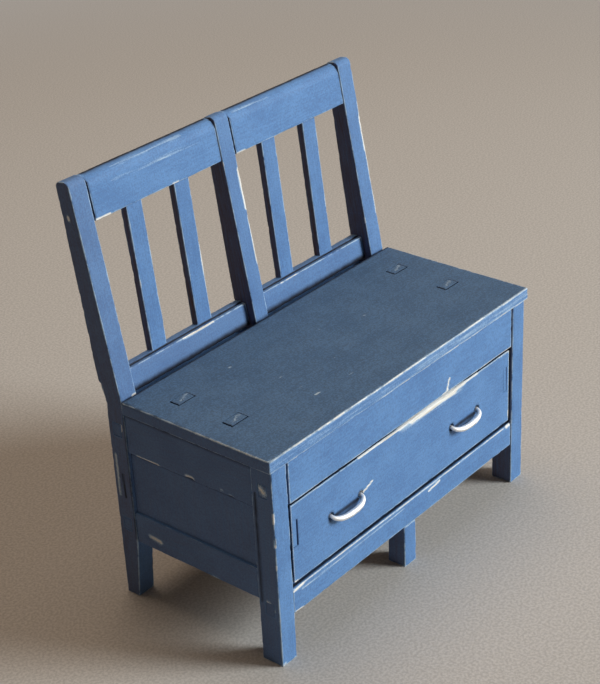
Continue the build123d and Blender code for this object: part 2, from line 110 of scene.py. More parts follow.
# Distances along a board: a quarter circle of close steps at each end, even steps between, and extra
# places. The second array is how far the section draws in at the ends: e - sqrt(e^2 - (e - s)^2).
def stationsAlong(low, high, step, endRound, extra, roundSteps=4):
    near = endRound * (1 - np.cos(np.linspace(0, np.pi / 2, roundSteps + 1)))
    count = max(int(np.ceil((high - low - 2 * endRound) / step)), 2)
    between = np.linspace(low + endRound, high - endRound, count + 1)[1:-1]
    extra = np.array([place for place in extra if low + endRound < place < high - endRound])
    if len(extra):
        between = between[np.abs(between[:, None] - extra).min(axis=1) > 0.1]
    places = np.concatenate([low + near, np.sort(np.concatenate([between, extra])), high - near[::-1]])
    toEnd = np.minimum(places - low, high - places)
    return places, endRound - np.sqrt(endRound ** 2 - np.clip(endRound - toEnd, 0, None) ** 2)


# A section's outline with rounded corners. Each corner is a conic arc between its two tangent points,
# (t0 (1-t)^2 + 2 w t (1-t) p + t1 t^2) / ((1-t)^2 + 2 w t (1-t) + t^2), and even steps join the arcs.
def roundedOutline(corners, radii, step, arcSteps=4):
    before = np.roll(corners, 1, axis=1) - corners
    after = np.roll(corners, -1, axis=1) - corners
    before = before / np.linalg.norm(before, axis=2)[..., None]
    after = after / np.linalg.norm(after, axis=2)[..., None]
    halfAngle = np.arccos(np.clip((before * after).sum(axis=2), -1, 1)) / 2
    tangent = (radii / np.tan(halfAngle))[..., None]
    weight = np.sin(halfAngle)[:, :, None, None]
    t = np.linspace(0, 1, arcSteps + 1)[None, None, :, None]
    first = (corners + before * tangent)[:, :, None]
    last = (corners + after * tangent)[:, :, None]
    bend = 2 * weight * t * (1 - t)
    total = (1 - t) ** 2 + bend + t ** 2
    arcs = (first * (1 - t) ** 2 + bend * corners[:, :, None] + last * t ** 2) / total
    pieces = []
    for k in range(corners.shape[1]):
        start, end = arcs[:, k, -1], arcs[:, (k + 1) % corners.shape[1], 0]
        count = max(int(np.ceil(np.linalg.norm(end - start, axis=1).max() / step)), 1)
        share = np.linspace(0, 1, count + 1)[1:-1]
        pieces += [arcs[:, k], start[:, None] + (end - start)[:, None] * share[None, :, None]]
    return np.concatenate(pieces, axis=1)


# Corners moved inwards by a distance, along the sum of the outward normals of their two edges.
def drawnIn(corners, distance):
    along = np.roll(corners, -1, axis=1) - corners
    along = along / np.linalg.norm(along, axis=2)[..., None]
    normal = np.stack([along[..., 1], -along[..., 0]], axis=2)
    earlier = np.roll(normal, 1, axis=1)
    spread = 1 + (normal * earlier).sum(axis=2)
    return corners - distance[:, None, None] * (normal + earlier) / spread[..., None]


boardValues = {
    "step": 0.45,  # between points along a flat, mm
    "arris": 0.2,  # how far the long edges are rubbed round
    "arrisChange": 0.3,  # share by which that varies along them
    "changeLength": 6.0,
    "endRound": 0.1,
    "wave": 0.025,  # depth of the plane's and knife's marks
    "waveLength": 7.0,
    "nick": 0.06,  # depth of small nicks along the edges
    "nickLength": 1.5,
    "nickReach": 0.35,  # how far from an arris they lie
    "nickAmount": 0.25,  # from 0, none, to 1, everywhere
    "chipGrain": 0.9,  # size of the crumbs that a chip's rim breaks into
    "wear": 1.0,  # how wide the paint is rubbed off along the arrises
}
capShares = np.array([0.35, 0.75])  # sizes of the rings that close a board's end


# A board's grid in its own directions, along, across and through: the section's rounded outline at
# every station, drawn in at the ends, with two smaller rings that close each end.
def boardGrid(span, sectionAt, values, seed, extra=()):
    places, drawIn = stationsAlong(*span, values["step"], values["endRound"], extra)
    corners, radii = sectionAt(places)
    lane = np.stack([np.broadcast_to(places[:, None], radii.shape),
                     np.broadcast_to(np.arange(radii.shape[1]) * arrisShift, radii.shape),
                     np.full(radii.shape, seed * seedShift)], axis=2)
    change = values["arrisChange"] * sineField(lane, values["changeLength"], seed)
    radii = radii * (1 + change * (radii < 0.6))  # large rounds stay even
    radii = np.maximum(radii - drawIn[:, None] * 0.6, radii * 0.4)  # tighter at the ends
    outline = roundedOutline(drawnIn(corners, drawIn), radii, values["step"])
    share = capShares[:, None, None]
    middles = outline[[0, -1]].mean(axis=1, keepdims=True)
    head = middles[:1] + (outline[:1] - middles[:1]) * share
    tail = middles[1:] + (outline[-1:] - middles[1:]) * share[::-1]
    section = np.concatenate([head, outline, tail])
    places = np.concatenate([places[[0, 0]], places, places[[-1, -1]]])
    along = np.broadcast_to(places[:, None, None], section.shape[:2] + (1,))
    return np.concatenate([along, section], axis=2)


# Outward normals of a closed grid: the cross product of its directions round and along.
def gridNormals(points):
    down = np.gradient(points, axis=0)
    around = (np.roll(points, -1, axis=1) - np.roll(points, 1, axis=1)) / 2
    normal = np.cross(around, down)
    return normal / np.maximum(np.linalg.norm(normal, axis=2), 1e-9)[..., None]


# Hand work: a point sinks along its normal by shallow waves, by nicks where a random field is high and
# an arris is near, and by the piece's own chips, each a start, end, radius and depth.
def workedBoard(points, edge, values, seed, chips=()):
    nearEdge = np.exp(-(edge / values["nickReach"]) ** 2)
    wave = values["wave"] * (0.5 + 0.5 * sineField(points, values["waveLength"], seed + 1))
    field = sineField(points, values["nickLength"], seed + 2)
    nick = np.clip((field - 0.9 + values["nickAmount"]) / values["nickAmount"], 0, 1)
    depth = np.clip(wave, 0, None) + values["nick"] * nick * nearEdge
    rough = 1.6 + 0.5 * sineField(points, values["chipGrain"], seed + 5)
    for start, end, radius, chipDepth in chips:
        nearness = np.clip(1 - segmentDistance(points, start, end) / radius, 0, 1)
        depth = depth + chipDepth * np.clip(nearness * rough, 0, 1)
    return points - gridNormals(points) * depth[..., None]


# Vertices and faces of a closed grid: quads between neighbouring rings and a fan of triangles to a
# middle point at both ends.
def gridShell(grid, describe, slot=0):
    rows, columns = grid.shape[:2]
    index = np.arange(rows * columns).reshape(rows, columns)
    beside = np.roll(index, -1, axis=1)
    quads = np.stack([index[:-1], beside[:-1], beside[1:], index[1:]], axis=2).reshape(-1, 4)
    poles = rows * columns + np.array([[0], [1]]) + np.zeros(columns, int)
    fans = np.concatenate([np.stack([poles[0], beside[0], index[0]], axis=1),
                           np.stack([poles[1], index[-1], beside[-1]], axis=1)])
    points = np.concatenate([grid.reshape(-1, 3), grid[[0, -1]].mean(axis=1)])
    return {"points": points, "faces": quads.tolist() + fans.tolist(), "describe": describe, "slot": slot}


# How far points lie from a board's nearest arris: the second smallest of their distances to its faces.
def arrisDistance(faceDistances):
    return np.clip(np.sort(np.stack(faceDistances), axis=0)[1], 0, None)


# Directions of a board along X, Y or Z, and of one in the raked plane of the back
straight = {axis: (np.zeros(3), np.roll(np.eye(3), -axis, axis=0)) for axis in range(3)}
rakedAcross = (rakeOrigin, np.array([[1, 0, 0], [0, rakeCosine, -rakeSine], [0, rakeSine, rakeCosine]]))


# A straight board whose section is given as corners and radii in its own two directions: point =
# origin + along d0 + across d1 + through d2. Its arrises are measured from both ends and the sides of
# the section, or of a convex hull round it, and count as further away on little worn boards.
def sectionBoard(span, corners, radii, directions, values, seed, chips=(), slot=0, hull=None):
    origin, basis = directions
    corners, radii = np.array(corners, float), np.array(radii, float)
    hull = corners if hull is None else np.array(hull, float)

    def sectionAt(places):
        return (np.broadcast_to(corners, (len(places),) + corners.shape),
                np.broadcast_to(radii, (len(places),) + radii.shape))

    def describe(points):
        local = (points - origin) @ basis.T
        distances = [local[..., 0] - span[0], span[1] - local[..., 0]]
        sideRun = np.roll(hull, -1, axis=0) - hull
        sideRun = sideRun / np.linalg.norm(sideRun, axis=1)[:, None]
        for corner, run in zip(hull, sideRun):
            offset = local[..., 1:] - corner
            distances.append(offset[..., 1] * run[0] - offset[..., 0] * run[1])
        return local + noiseShift * seed, arrisDistance(distances) / values["wear"]

    grid = boardGrid(span, sectionAt, values, seed)
    points = origin + grid @ basis
    points = workedBoard(points, describe(points)[1], values, seed, chips)
    return gridShell(points, describe, slot)


# A square-cornered board from its lowest and highest corners, with its grain along X, Y or Z.
def boxBoard(low, high, axis, values, seed, chips=(), slot=0):
    low, high = np.roll(np.array(low, float), -axis), np.roll(np.array(high, float), -axis)
    corners = [(low[1], low[2]), (high[1], low[2]), (high[1], high[2]), (low[1], high[2])]
    return sectionBoard((low[0], high[0]), corners, [values["arris"]] * 4, straight[axis], values, seed,
                        chips, slot)


# Closed shells that cut openings: a box, low + choice * (high - low), and a rod along Y, with the ring
# x = r cos(t), z = r sin(t).
def boxCutter(low, high):
    low, high = np.array(low, float), np.array(high, float)
    choice = np.array([(0, 0, 0), (1, 0, 0), (1, 1, 0), (0, 1, 0),
                       (0, 0, 1), (1, 0, 1), (1, 1, 1), (0, 1, 1)])
    faces = [[3, 2, 1, 0], [4, 5, 6, 7], [0, 1, 5, 4], [1, 2, 6, 5], [2, 3, 7, 6], [3, 0, 4, 7]]
    return low + choice * (high - low), faces


def rodCutter(x, z, radius, front, back, count=40):
    turn = np.linspace(0, 2 * np.pi, count, endpoint=False)
    ring = np.stack([x + radius * np.cos(turn), np.full(count, front), z + radius * np.sin(turn)], axis=1)
    points = np.concatenate([ring, ring + (0, back - front, 0)])
    index = np.arange(count)
    beside = np.roll(index, -1)
    walls = np.stack([beside, index, index + count, beside + count], axis=1).tolist()
    return points, walls + [index.tolist(), (index[::-1] + count).tolist()]


def rawMesh(name, points, faces):
    mesh = bpy.data.meshes.new(name)
    mesh.from_pydata((points * millimetre).tolist(), [], faces)
    mesh.update()
    return mesh


# Cuts openings out of a shell with an exact Boolean and reads the result back into it.
def cutShell(shell, cutters):
    points, faces = [], []
    for cutterPoints, cutterFaces in cutters:
        start = sum(len(p) for p in points)
        points.append(cutterPoints)
        faces += [[start + v for v in face] for face in cutterFaces]
    objects = [bpy.data.objects.new("blank", rawMesh("blank", shell["points"], shell["faces"])),
               bpy.data.objects.new("cutter", rawMesh("cutter", np.concatenate(points), faces))]
    for item in objects:
        bpy.context.scene.collection.objects.link(item)
    modifier = objects[0].modifiers.new("openings", "BOOLEAN")
    modifier.operation = "DIFFERENCE"
    modifier.solver = "EXACT"
    modifier.object = objects[1]
    cut = objects[0].evaluated_get(bpy.context.evaluated_depsgraph_get()).to_mesh()
    shell["points"] = np.array([vertex.co for vertex in cut.vertices]) / millimetre
    shell["faces"] = [list(face.vertices) for face in cut.polygons]
    for item in objects:
        bpy.data.meshes.remove(item.data)


# Strongest of several marks at each point. A mark is a start, end, radius and strength, and it fades
# evenly from its middle line to its radius.
def markStrength(points, marks):
    strength = np.zeros(len(points))
    for start, end, radius, most in marks:
        nearness = np.clip(1 - segmentDistance(points, start, end) / radius, 0, 1)
        strength = np.maximum(strength, most * nearness)
    return strength


filmAndSideShadeValues = {
    "film": 0.04,  # a brown film of dirt on faces that look forwards or up, where a piece's marks say nothing else
    "sides": 0.36,  # painted shade on faces that look left
    "rightShare": 0.65,  # squared, the share of that painted shade on faces that look right
}


# One mesh from closed shells, with five values at each point: grain, the place in the wood, edge, the
# distance to the nearest arris, how far the paint is gone, with pale marks that are partly painted
# highlight, how dark the painted shade and dirt in corners and gaps are, and the brown film of dirt all
# over, with painted shade
# on faces that look sideways: the larger of the piece's film amount and sides * (sideways part of the
# normal)^2.
def meshFromShells(name, shells, marks):
    marks = {**filmAndSideShadeValues, "bare": (), "soil": (), **marks}
    points, faces, slots, grains, edges, start = [], [], [], [], [], 0
    for shell in shells:
        points.append(shell["points"])
        faces += [[start + v for v in face] for face in shell["faces"]]
        slots += [shell["slot"]] * len(shell["faces"])
        grain, edge = shell["describe"](shell["points"])
        grains.append(grain)
        edges.append(edge)
        start += len(shell["points"])
    points = np.concatenate(points)
    mesh = rawMesh(name, points, faces)
    mesh.polygons.foreach_set("material_index", np.array(slots, np.int32))
    normals = np.zeros(points.size)
    mesh.vertex_normals.foreach_get("vector", normals)
    # Painted shade: faces that look left get the whole sides amount, faces that look right a smaller share
    leftward = -normals.reshape(-1, 3)[:, 0]
    sideways = np.maximum(leftward, -marks["rightShare"] * leftward) ** 2
    layers = {"grain": np.concatenate(grains), "edge": np.concatenate(edges),
              "film": np.maximum(sideways * marks["sides"], marks["film"]),
              "bare": markStrength(points, marks["bare"]), "soil": markStrength(points, marks["soil"])}
    for key, value in layers.items():
        kind = "FLOAT_VECTOR" if value.ndim == 2 else "FLOAT"
        layer = mesh.attributes.new(key, kind, "POINT")
        layer.data.foreach_set("vector" if value.ndim == 2 else "value", value.astype(np.float32).ravel())
    return mesh


seeds = itertools.count(1)  # each piece has its own


# Puts a finished piece in the scene. It rides on the body of the node that it stands for.
def placePiece(name, shells, materials, node, marks=None):
    mesh = meshFromShells(name, shells, marks or {})
    piece = bpy.data.objects.new(name, mesh)
    bpy.context.scene.collection.objects.link(piece)
    for material in materials:
        mesh.materials.append(material)
    mesh.shade_smooth()
    mesh.set_sharp_from_angle(angle=smoothAngle)
    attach(piece, bodyOf[node])
    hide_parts(node)
    return piece


# Finishes. Each piece's mesh carries its place in the wood in millimetres, grain, with the first
# component along the fibres, the distance to its nearest arris, edge, where its paint is gone and where
# pale painted highlight lies along some arrises, where painted shade and dirt lie in corners and gaps, and
# how thick a brown film of dirt lies on the rest, together with painted shade on faces that look sideways.

def addNode(tree, kind, inputs=None, **settings):
    node = tree.nodes.new(kind)
    for key, value in settings.items():
        setattr(node, key, value)
    for key, value in (inputs or {}).items():
        if isinstance(value, bpy.types.NodeSocket):
            tree.links.new(value, node.inputs[key])
        else:
            node.inputs[key].default_value = value
    return node


def makeGroup(name, inputs, outputs):
    tree = bpy.data.node_groups.new(name, "ShaderNodeTree")
    for direction, sockets in (("INPUT", inputs), ("OUTPUT", outputs)):
        for label, kind in sockets.items():
            tree.interface.new_socket(label, in_out=direction, socket_type=f"NodeSocket{kind}")
    return tree, tree.nodes.new("NodeGroupInput").outputs, tree.nodes.new("NodeGroupOutput").inputs


def mathNode(tree, *values, operation, clamp=False):
    node = addNode(tree, "ShaderNodeMath", dict(enumerate(values)), operation=operation, use_clamp=clamp)
    return node.outputs[0]


plus = functools.partial(mathNode, operation="ADD")
minus = functools.partial(mathNode, operation="SUBTRACT")
times = functools.partial(mathNode, operation="MULTIPLY")
over = functools.partial(mathNode, operation="DIVIDE")
larger = functools.partial(mathNode, operation="MAXIMUM")


# The sum of values, each times its share
def weighted(tree, *pairs):
    total = times(tree, *pairs[0])
    for value, share in pairs[1:]:
        total = mathNode(tree, value, share, total, operation="MULTIPLY_ADD")
    return total


# A value from between two limits, low and high, to between two others, evenly or smoothly
def stretched(tree, value, low=0.0, high=1.0, first=0.0, last=1.0, steps="LINEAR"):
    limits = {"Value": value, "From Min": low, "From Max": high, "To Min": first, "To Max": last}
    return addNode(tree, "ShaderNodeMapRange", limits, interpolation_type=steps).outputs["Result"]


smooth = functools.partial(stretched, steps="SMOOTHSTEP")


def mixColour(tree, share, first, second):
    node = addNode(tree, "ShaderNodeMix", {"Factor": share}, data_type="RGBA")
    for place, value in ((6, first), (7, second)):  # its sockets A and B for colours
        if isinstance(value, bpy.types.NodeSocket):
            tree.links.new(value, node.inputs[place])
        else:
            node.inputs[place].default_value = (*value, 1)
    return node.outputs[2]


def noise(tree, vector, scale, detail, roughness=0.5, distortion=0.0):
    inputs = {"Vector": vector, "Scale": scale, "Detail": detail, "Roughness": roughness,
              "Distortion": distortion}
    return addNode(tree, "ShaderNodeTexNoise", inputs).outputs["Fac"]


def carried(tree, name, output="Fac"):
    return addNode(tree, "ShaderNodeAttribute", attribute_name=name).outputs[output]


def useGroup(tree, group, inputs):
    return addNode(tree, "ShaderNodeGroup", inputs, node_tree=group).outputs


# Noise stretched along the fibres: the place in the wood is divided by the fibres' length and width
def makeGrainGroup():
    tree, given, result = makeGroup("woodGrain", {"Grain": "Vector", "Length": "Float", "Width": "Float"},
                                    {"Streaks": "Float", "Fine": "Float", "Mottle": "Float"})
    grain, width = given["Grain"], given["Width"]
    sizes = addNode(tree, "ShaderNodeCombineXYZ", {"X": given["Length"], "Y": width, "Z": width}).outputs[0]
    shrunk = addNode(tree, "ShaderNodeVectorMath", {0: grain, 1: sizes}, operation="DIVIDE").outputs[0]
    tree.links.new(noise(tree, shrunk, 1.0, 3.0, 0.62, 0.3), result["Streaks"])
    tree.links.new(noise(tree, grain, 3.2, 4.0, 0.7), result["Fine"])
    tree.links.new(noise(tree, grain, 0.16, 3.0, 0.55), result["Mottle"])
    return tree


# Wear of an arris: the paint is rubbed pale where the edge is nearer than a width that wanders, and is
# gone where it is nearer still and another noise is high
def makeWearGroup():
    tree, given, result = makeGroup("edgeWear", {"Grain": "Vector", "Edge": "Float", "Width": "Float",
                                                 "Rubbed": "Float", "Chipped": "Float"},
                                    {"Pale": "Float", "Gone": "Float"})
    wander = noise(tree, given["Grain"], 0.33, 4.0, 0.65)
    crumbs = noise(tree, given["Grain"], 2.1, 3.0, 0.6)
    share = plus(tree, smooth(tree, wander, 0.3, 0.7), times(tree, crumbs, 0.8))
    reach = times(tree, times(tree, share, given["Width"]), given["Rubbed"])
    near = minus(tree, 1.0, over(tree, given["Edge"], plus(tree, reach, 0.001)))
    tree.links.new(smooth(tree, near, 0.0, 0.55), result["Pale"])
    start = minus(tree, 1.02, times(tree, given["Chipped"], 0.35))
    rare = smooth(tree, plus(tree, wander, times(tree, crumbs, 0.45)), start, 1.06)
    close = minus(tree, 1.0, over(tree, given["Edge"], times(tree, reach, 0.9)), clamp=True)
    tree.links.new(times(tree, rare, smooth(tree, close, 0.05, 0.35)), result["Gone"])
    return tree


# A scraped place with ragged rims, or pale painted highlight along an arris: the nearness that the mesh
# carries, broken up by noise along the fibres
def makeScrapeGroup():
    tree, given, result = makeGroup("scrapedPaint", {"Bare": "Float", "Streaks": "Float", "Fine": "Float"},
                                    {"Gone": "Float", "Thin": "Float"})
    broken = weighted(tree, (given["Streaks"], 0.55), (given["Fine"], 0.35))
    level = plus(tree, given["Bare"], minus(tree, broken, 0.5))
    present = smooth(tree, given["Bare"], 0.0, 0.08)
    for label, start in (("Gone", 0.38), ("Thin", 0.12)):
        tree.links.new(times(tree, smooth(tree, level, start, 0.5), present), result[label])
    return tree


# Painted shade and dirt in corners and gaps: the darkness that the mesh carries, with a wandering rim
def makeSoilGroup():
    tree, given, result = makeGroup("gatheredDirt", {"Soil": "Float", "Grain": "Vector"}, {"Dark": "Float"})
    wander = minus(tree, noise(tree, given["Grain"], 0.7, 4.0), 0.5)
    swing = times(tree, wander, plus(tree, given["Soil"], 0.1))
    moved = plus(tree, given["Soil"], times(tree, swing, 0.6))
    present = smooth(tree, given["Soil"], 0.0, 0.15)
    tree.links.new(times(tree, smooth(tree, moved, 0.0, 0.75), present), result["Dark"])
    return tree


# Pale specks of dust and filler: the middles of a few cells of a Voronoi pattern
def makeSpeckGroup():
    tree, given, result = makeGroup("specks", {"Grain": "Vector", "Size": "Float", "Amount": "Float"},
                                    {"Specks": "Float"})
    cells = addNode(tree, "ShaderNodeTexVoronoi", {"Vector": given["Grain"], "Scale": 0.9}).outputs
    draw = addNode(tree, "ShaderNodeSeparateColor", {"Color": cells["Color"]}).outputs["Red"]
    chosen = mathNode(tree, draw, given["Amount"], operation="LESS_THAN")
    size = times(tree, given["Size"], plus(tree, draw, 0.5))
    dot = smooth(tree, minus(tree, size, cells["Distance"]), 0.0, 0.05)
    tree.links.new(times(tree, chosen, dot), result["Specks"])
    return tree


woodGrain, edgeWear, scrapedPaint = makeGrainGroup(), makeWearGroup(), makeScrapeGroup()
gatheredDirt, specks = makeSoilGroup(), makeSpeckGroup()

bluePaintValues = {
    "deep": (0.089, 0.202, 0.428),
    "light": (0.130, 0.278, 0.542),
    "worn": (0.42, 0.56, 0.70),
    # pale blue of rubbed paint, also the colour of painted highlights along some arrises
    "wood": (0.87, 0.855, 0.82),
    "woodDark": (0.62, 0.55, 0.46),
    # near black: the colour of the painted shade and dirt in corners and gaps
    "dirtColour": (0.010, 0.014, 0.026),
    # brown: the film of dirt, and the painted shade on faces that look sideways
    "filmColour": (0.096, 0.050, 0.040),
    "filmUneven": 1.5,  # how much thicker the film and the painted side shade are along dark streaks
    "grimeColour": (0.10, 0.13, 0.19),
    "grime": 0.25,
    "fibreLength": 6.0,
    "fibreWidth": 0.3,
    "wearWidth": 0.22,
    "rubbed": 1.0,
    "rubbedPale": 0.8,
    "chipped": 0.35,
    "speckSize": 0.055,
    "speckAmount": 0.05,
    "speckPale": 0.8,
    "roughness": (0.58, 0.72),
    "specular": 0.22,
    "streaky": 0.33,  # shares of the streaks, the large and the fine clouds in its tone
    "cloudy": 0.3,
    "mottled": 0.37,
    "toneSpread": 0.12,  # how far the tone strays either way between deep and light: less is harsher
    "bump": 0.3,
}
# Its bare-wood colour is bluish white: partly wood, partly a painted highlight along the seat's worn
# arrises.
seatPaintValues = dict(
    bluePaintValues, deep=(0.040, 0.094, 0.184), light=(0.080, 0.156, 0.272), worn=(0.46, 0.55, 0.62),
    wood=(0.80, 0.84, 0.86), grimeColour=(0.08, 0.10, 0.12), grime=0.4, fibreLength=9.0, wearWidth=0.26,
    chipped=0.4, speckAmount=0.22, speckSize=0.11, speckPale=0.3, roughness=(0.55, 0.72), streaky=0.2,
    cloudy=0.15, mottled=0.65, toneSpread=0.07, bump=0.4)
reliefDepth = 0.00012  # of the brush marks and fibres, in metres


def newMaterial(name):
    material = bpy.data.materials.new(name)
    material.use_nodes = True
    return material, material.node_tree, material.node_tree.nodes["Principled BSDF"]


# Colour, roughness and relief into a material's shader
def finishWith(tree, shader, colour, rough, height, bump, depth):
    relief = addNode(tree, "ShaderNodeBump", {"Height": height, "Strength": bump, "Distance": depth})
    tree.links.new(colour, shader.inputs["Base Color"])
    tree.links.new(relief.outputs["Normal"], shader.inputs["Normal"])
    if rough is not None:
        tree.links.new(rough, shader.inputs["Roughness"])


# Brushed paint over wood. From the bottom up: its tone, grime, the brown film with painted shade on
# sideways faces, painted shade and dirt in corners and gaps, then the pale of rubbed edges, specks and
# painted highlights, and bare wood where it is gone.
def makePaint(name, values):
    material, tree, shader = newMaterial(name)
    grain = carried(tree, "grain", "Vector")
    edge, bare, soil, film = (carried(tree, label) for label in ("edge", "bare", "soil", "film"))
    wood = useGroup(tree, woodGrain, {"Grain": grain, "Length": values["fibreLength"],
                                      "Width": values["fibreWidth"]})
    streaks, fine = wood["Streaks"], wood["Fine"]
    wear = useGroup(tree, edgeWear, {"Grain": grain, "Edge": edge, "Width": values["wearWidth"],
                                     "Rubbed": values["rubbed"], "Chipped": values["chipped"]})
    scrape = useGroup(tree, scrapedPaint, {"Bare": bare, "Streaks": streaks, "Fine": fine})
    dust = useGroup(tree, specks, {"Grain": grain, "Size": values["speckSize"],
                                   "Amount": values["speckAmount"]})["Specks"]
    dark = useGroup(tree, gatheredDirt, {"Soil": soil, "Grain": grain})["Dark"]
    # clean is 1 away from the painted shade and dirt; edges inside them are neither rubbed pale nor bare
    clean = minus(tree, 1.0, dark)

    tone = weighted(tree, (streaks, values["streaky"]), (wood["Mottle"], values["cloudy"]),
                    (fine, values["mottled"]))
    tone = smooth(tree, tone, 0.5 - values["toneSpread"], 0.5 + values["toneSpread"])
    colour = mixColour(tree, tone, values["deep"], values["light"])
    grime = times(tree, smooth(tree, minus(tree, 1.0, fine), 0.42, 0.66), values["grime"])
    colour = mixColour(tree, grime, colour, values["grimeColour"])
    uneven = mathNode(tree, streaks, values["filmUneven"], 0.25, operation="MULTIPLY_ADD")
    # the brown film of dirt, together with painted shade on faces that look sideways
    colour = mixColour(tree, times(tree, film, uneven, clamp=True), colour, values["filmColour"])
    # painted shade and dirt in corners and gaps
    colour = mixColour(tree, dark, colour, values["dirtColour"])

    rubbed = times(tree, times(tree, wear["Pale"], values["rubbedPale"]), clean)
    pale = larger(tree, larger(tree, rubbed, scrape["Thin"]), times(tree, dust, values["speckPale"]))
    # pale: rubbed edges, specks, and painted highlights along some arrises
    colour = mixColour(tree, pale, colour, values["worn"])
    gone = larger(tree, times(tree, wear["Gone"], clean), scrape["Gone"])
    woodTone = mixColour(tree, smooth(tree, streaks, 0.35, 0.75), values["wood"], values["woodDark"])
    colour = mixColour(tree, gone, colour, woodTone)

    rough = stretched(tree, larger(tree, streaks, gone), 0.3, 0.9, *values["roughness"])
    height = minus(tree, weighted(tree, (streaks, 0.7), (fine, 0.3)), times(tree, gone, 0.5))
    finishWith(tree, shader, colour, rough, height, values["bump"], reliefDepth)
    shader.inputs["Specular IOR Level"].default_value = values["specular"]
    return material


pineValues = {
    "early": (0.55, 0.40, 0.235),
    "late": (0.36, 0.23, 0.12),
    "ringWidth": 0.9,
    "ringWander": 5.0,
    "fibreLength": 16.0,
    "fibreWidth": 0.5,
    "dust": (0.42, 0.38, 0.33),
    "dusty": 0.35,
    "roughness": (0.55, 0.8),
    "specular": 0.3,
    "bump": 0.3,
}


# Bare softwood: growth rings as a saw-tooth across the board, and streaks along it
def makePine(name, values):
    material, tree, shader = newMaterial(name)
    grain = carried(tree, "grain", "Vector")
    wood = useGroup(tree, woodGrain, {"Grain": grain, "Length": values["fibreLength"],
                                      "Width": values["fibreWidth"]})
    streaks, fine = wood["Streaks"], wood["Fine"]
    place = addNode(tree, "ShaderNodeSeparateXYZ", {"Vector": grain}).outputs
    wander = times(tree, minus(tree, wood["Mottle"], 0.5), values["ringWander"])
    across = plus(tree, plus(tree, place["Y"], wander), times(tree, place["Z"], 0.6))
    rings = mathNode(tree, over(tree, across, values["ringWidth"]), operation="FRACT")
    ring = mathNode(tree, rings, 2.5, operation="POWER")
    late = smooth(tree, weighted(tree, (ring, 0.55), (streaks, 0.5)), 0.15, 0.95)
    colour = mixColour(tree, late, values["early"], values["late"])
    dusty = times(tree, smooth(tree, fine, 0.5, 0.75), values["dusty"])
    colour = mixColour(tree, dusty, colour, values["dust"])
    rough = stretched(tree, streaks, 0.0, 1.0, *values["roughness"])
    height = weighted(tree, (streaks, 0.6), (fine, 0.4))
    finishWith(tree, shader, colour, rough, height, values["bump"], reliefDepth)
    shader.inputs["Specular IOR Level"].default_value = values["specular"]
    return material


wireValues = {
    "clean": (0.97, 0.97, 0.96),
    "dull": (0.62, 0.60, 0.57),
    "tarnish": 0.25,
    "scratchLength": 2.2,
    "scratchWidth": 0.16,
    "scratchDepth": 0.00006,
    "roughness": (0.5, 0.65),
    "bump": 0.15,
}


# Polished wire with dull patches and fine scratches along it
def makeWire(name, values):
    material, tree, shader = newMaterial(name)
    grain = carried(tree, "grain", "Vector")
    scratches = useGroup(tree, woodGrain, {"Grain": grain, "Length": values["scratchLength"],
                                           "Width": values["scratchWidth"]})
    dull = times(tree, smooth(tree, noise(tree, grain, 0.9, 3.0), 0.45, 0.75), values["tarnish"])
    colour = mixColour(tree, dull, values["clean"], values["dull"])
    rough = stretched(tree, larger(tree, dull, scratches["Streaks"]), 0.3, 1.0, *values["roughness"])
    height = weighted(tree, (scratches["Streaks"], 0.7), (scratches["Fine"], 0.3))
    finishWith(tree, shader, colour, rough, height, values["bump"], values["scratchDepth"])
    shader.inputs["Metallic"].default_value = 1.0
    return material


paint = makePaint("bluePaint", bluePaintValues)
seatPaint = makePaint("slateBluePaint", seatPaintValues)
pine = makePine("barePine", pineValues)
wire = makeWire("polishedWire", wireValues)
print("finishes made")


# Wooden pieces

jointValues = {
    "play": 0.05,  # all round a tenon's end
    "proud": 0.02,  # how far tenon ends stand out
    "tenonThickness": 1.8,
    "tenonHeight": 2.4,
    "tenonDepth": 2.4,  # how deep a tenon's end is modelled
}


# Both limits of a length in the middle between low and high
def middleSpan(low, high, length):
    return (low + high) / 2 - length / 2, (low + high) / 2 + length / 2


# Y and Z limits of the tenon in the middle of a rail's end
def railTenon(node):
    low, high = nodeBox(node)
    y = middleSpan(low[1], high[1], jointValues["tenonThickness"])
    z = middleSpan(low[2], high[2], jointValues["tenonHeight"])
    return y, z


# The opening in a leg's outer face where a rail's tenon shows
def railMortise(node, sign):
    y, z = railTenon(node)
    play = jointValues["play"]
    x = sorted((sign * (halfWidth - jointValues["tenonDepth"]), sign * (halfWidth + 1)))
    return boxCutter((x[0], y[0] - play, z[0] - play), (x[1], y[1] + play, z[1] + play))


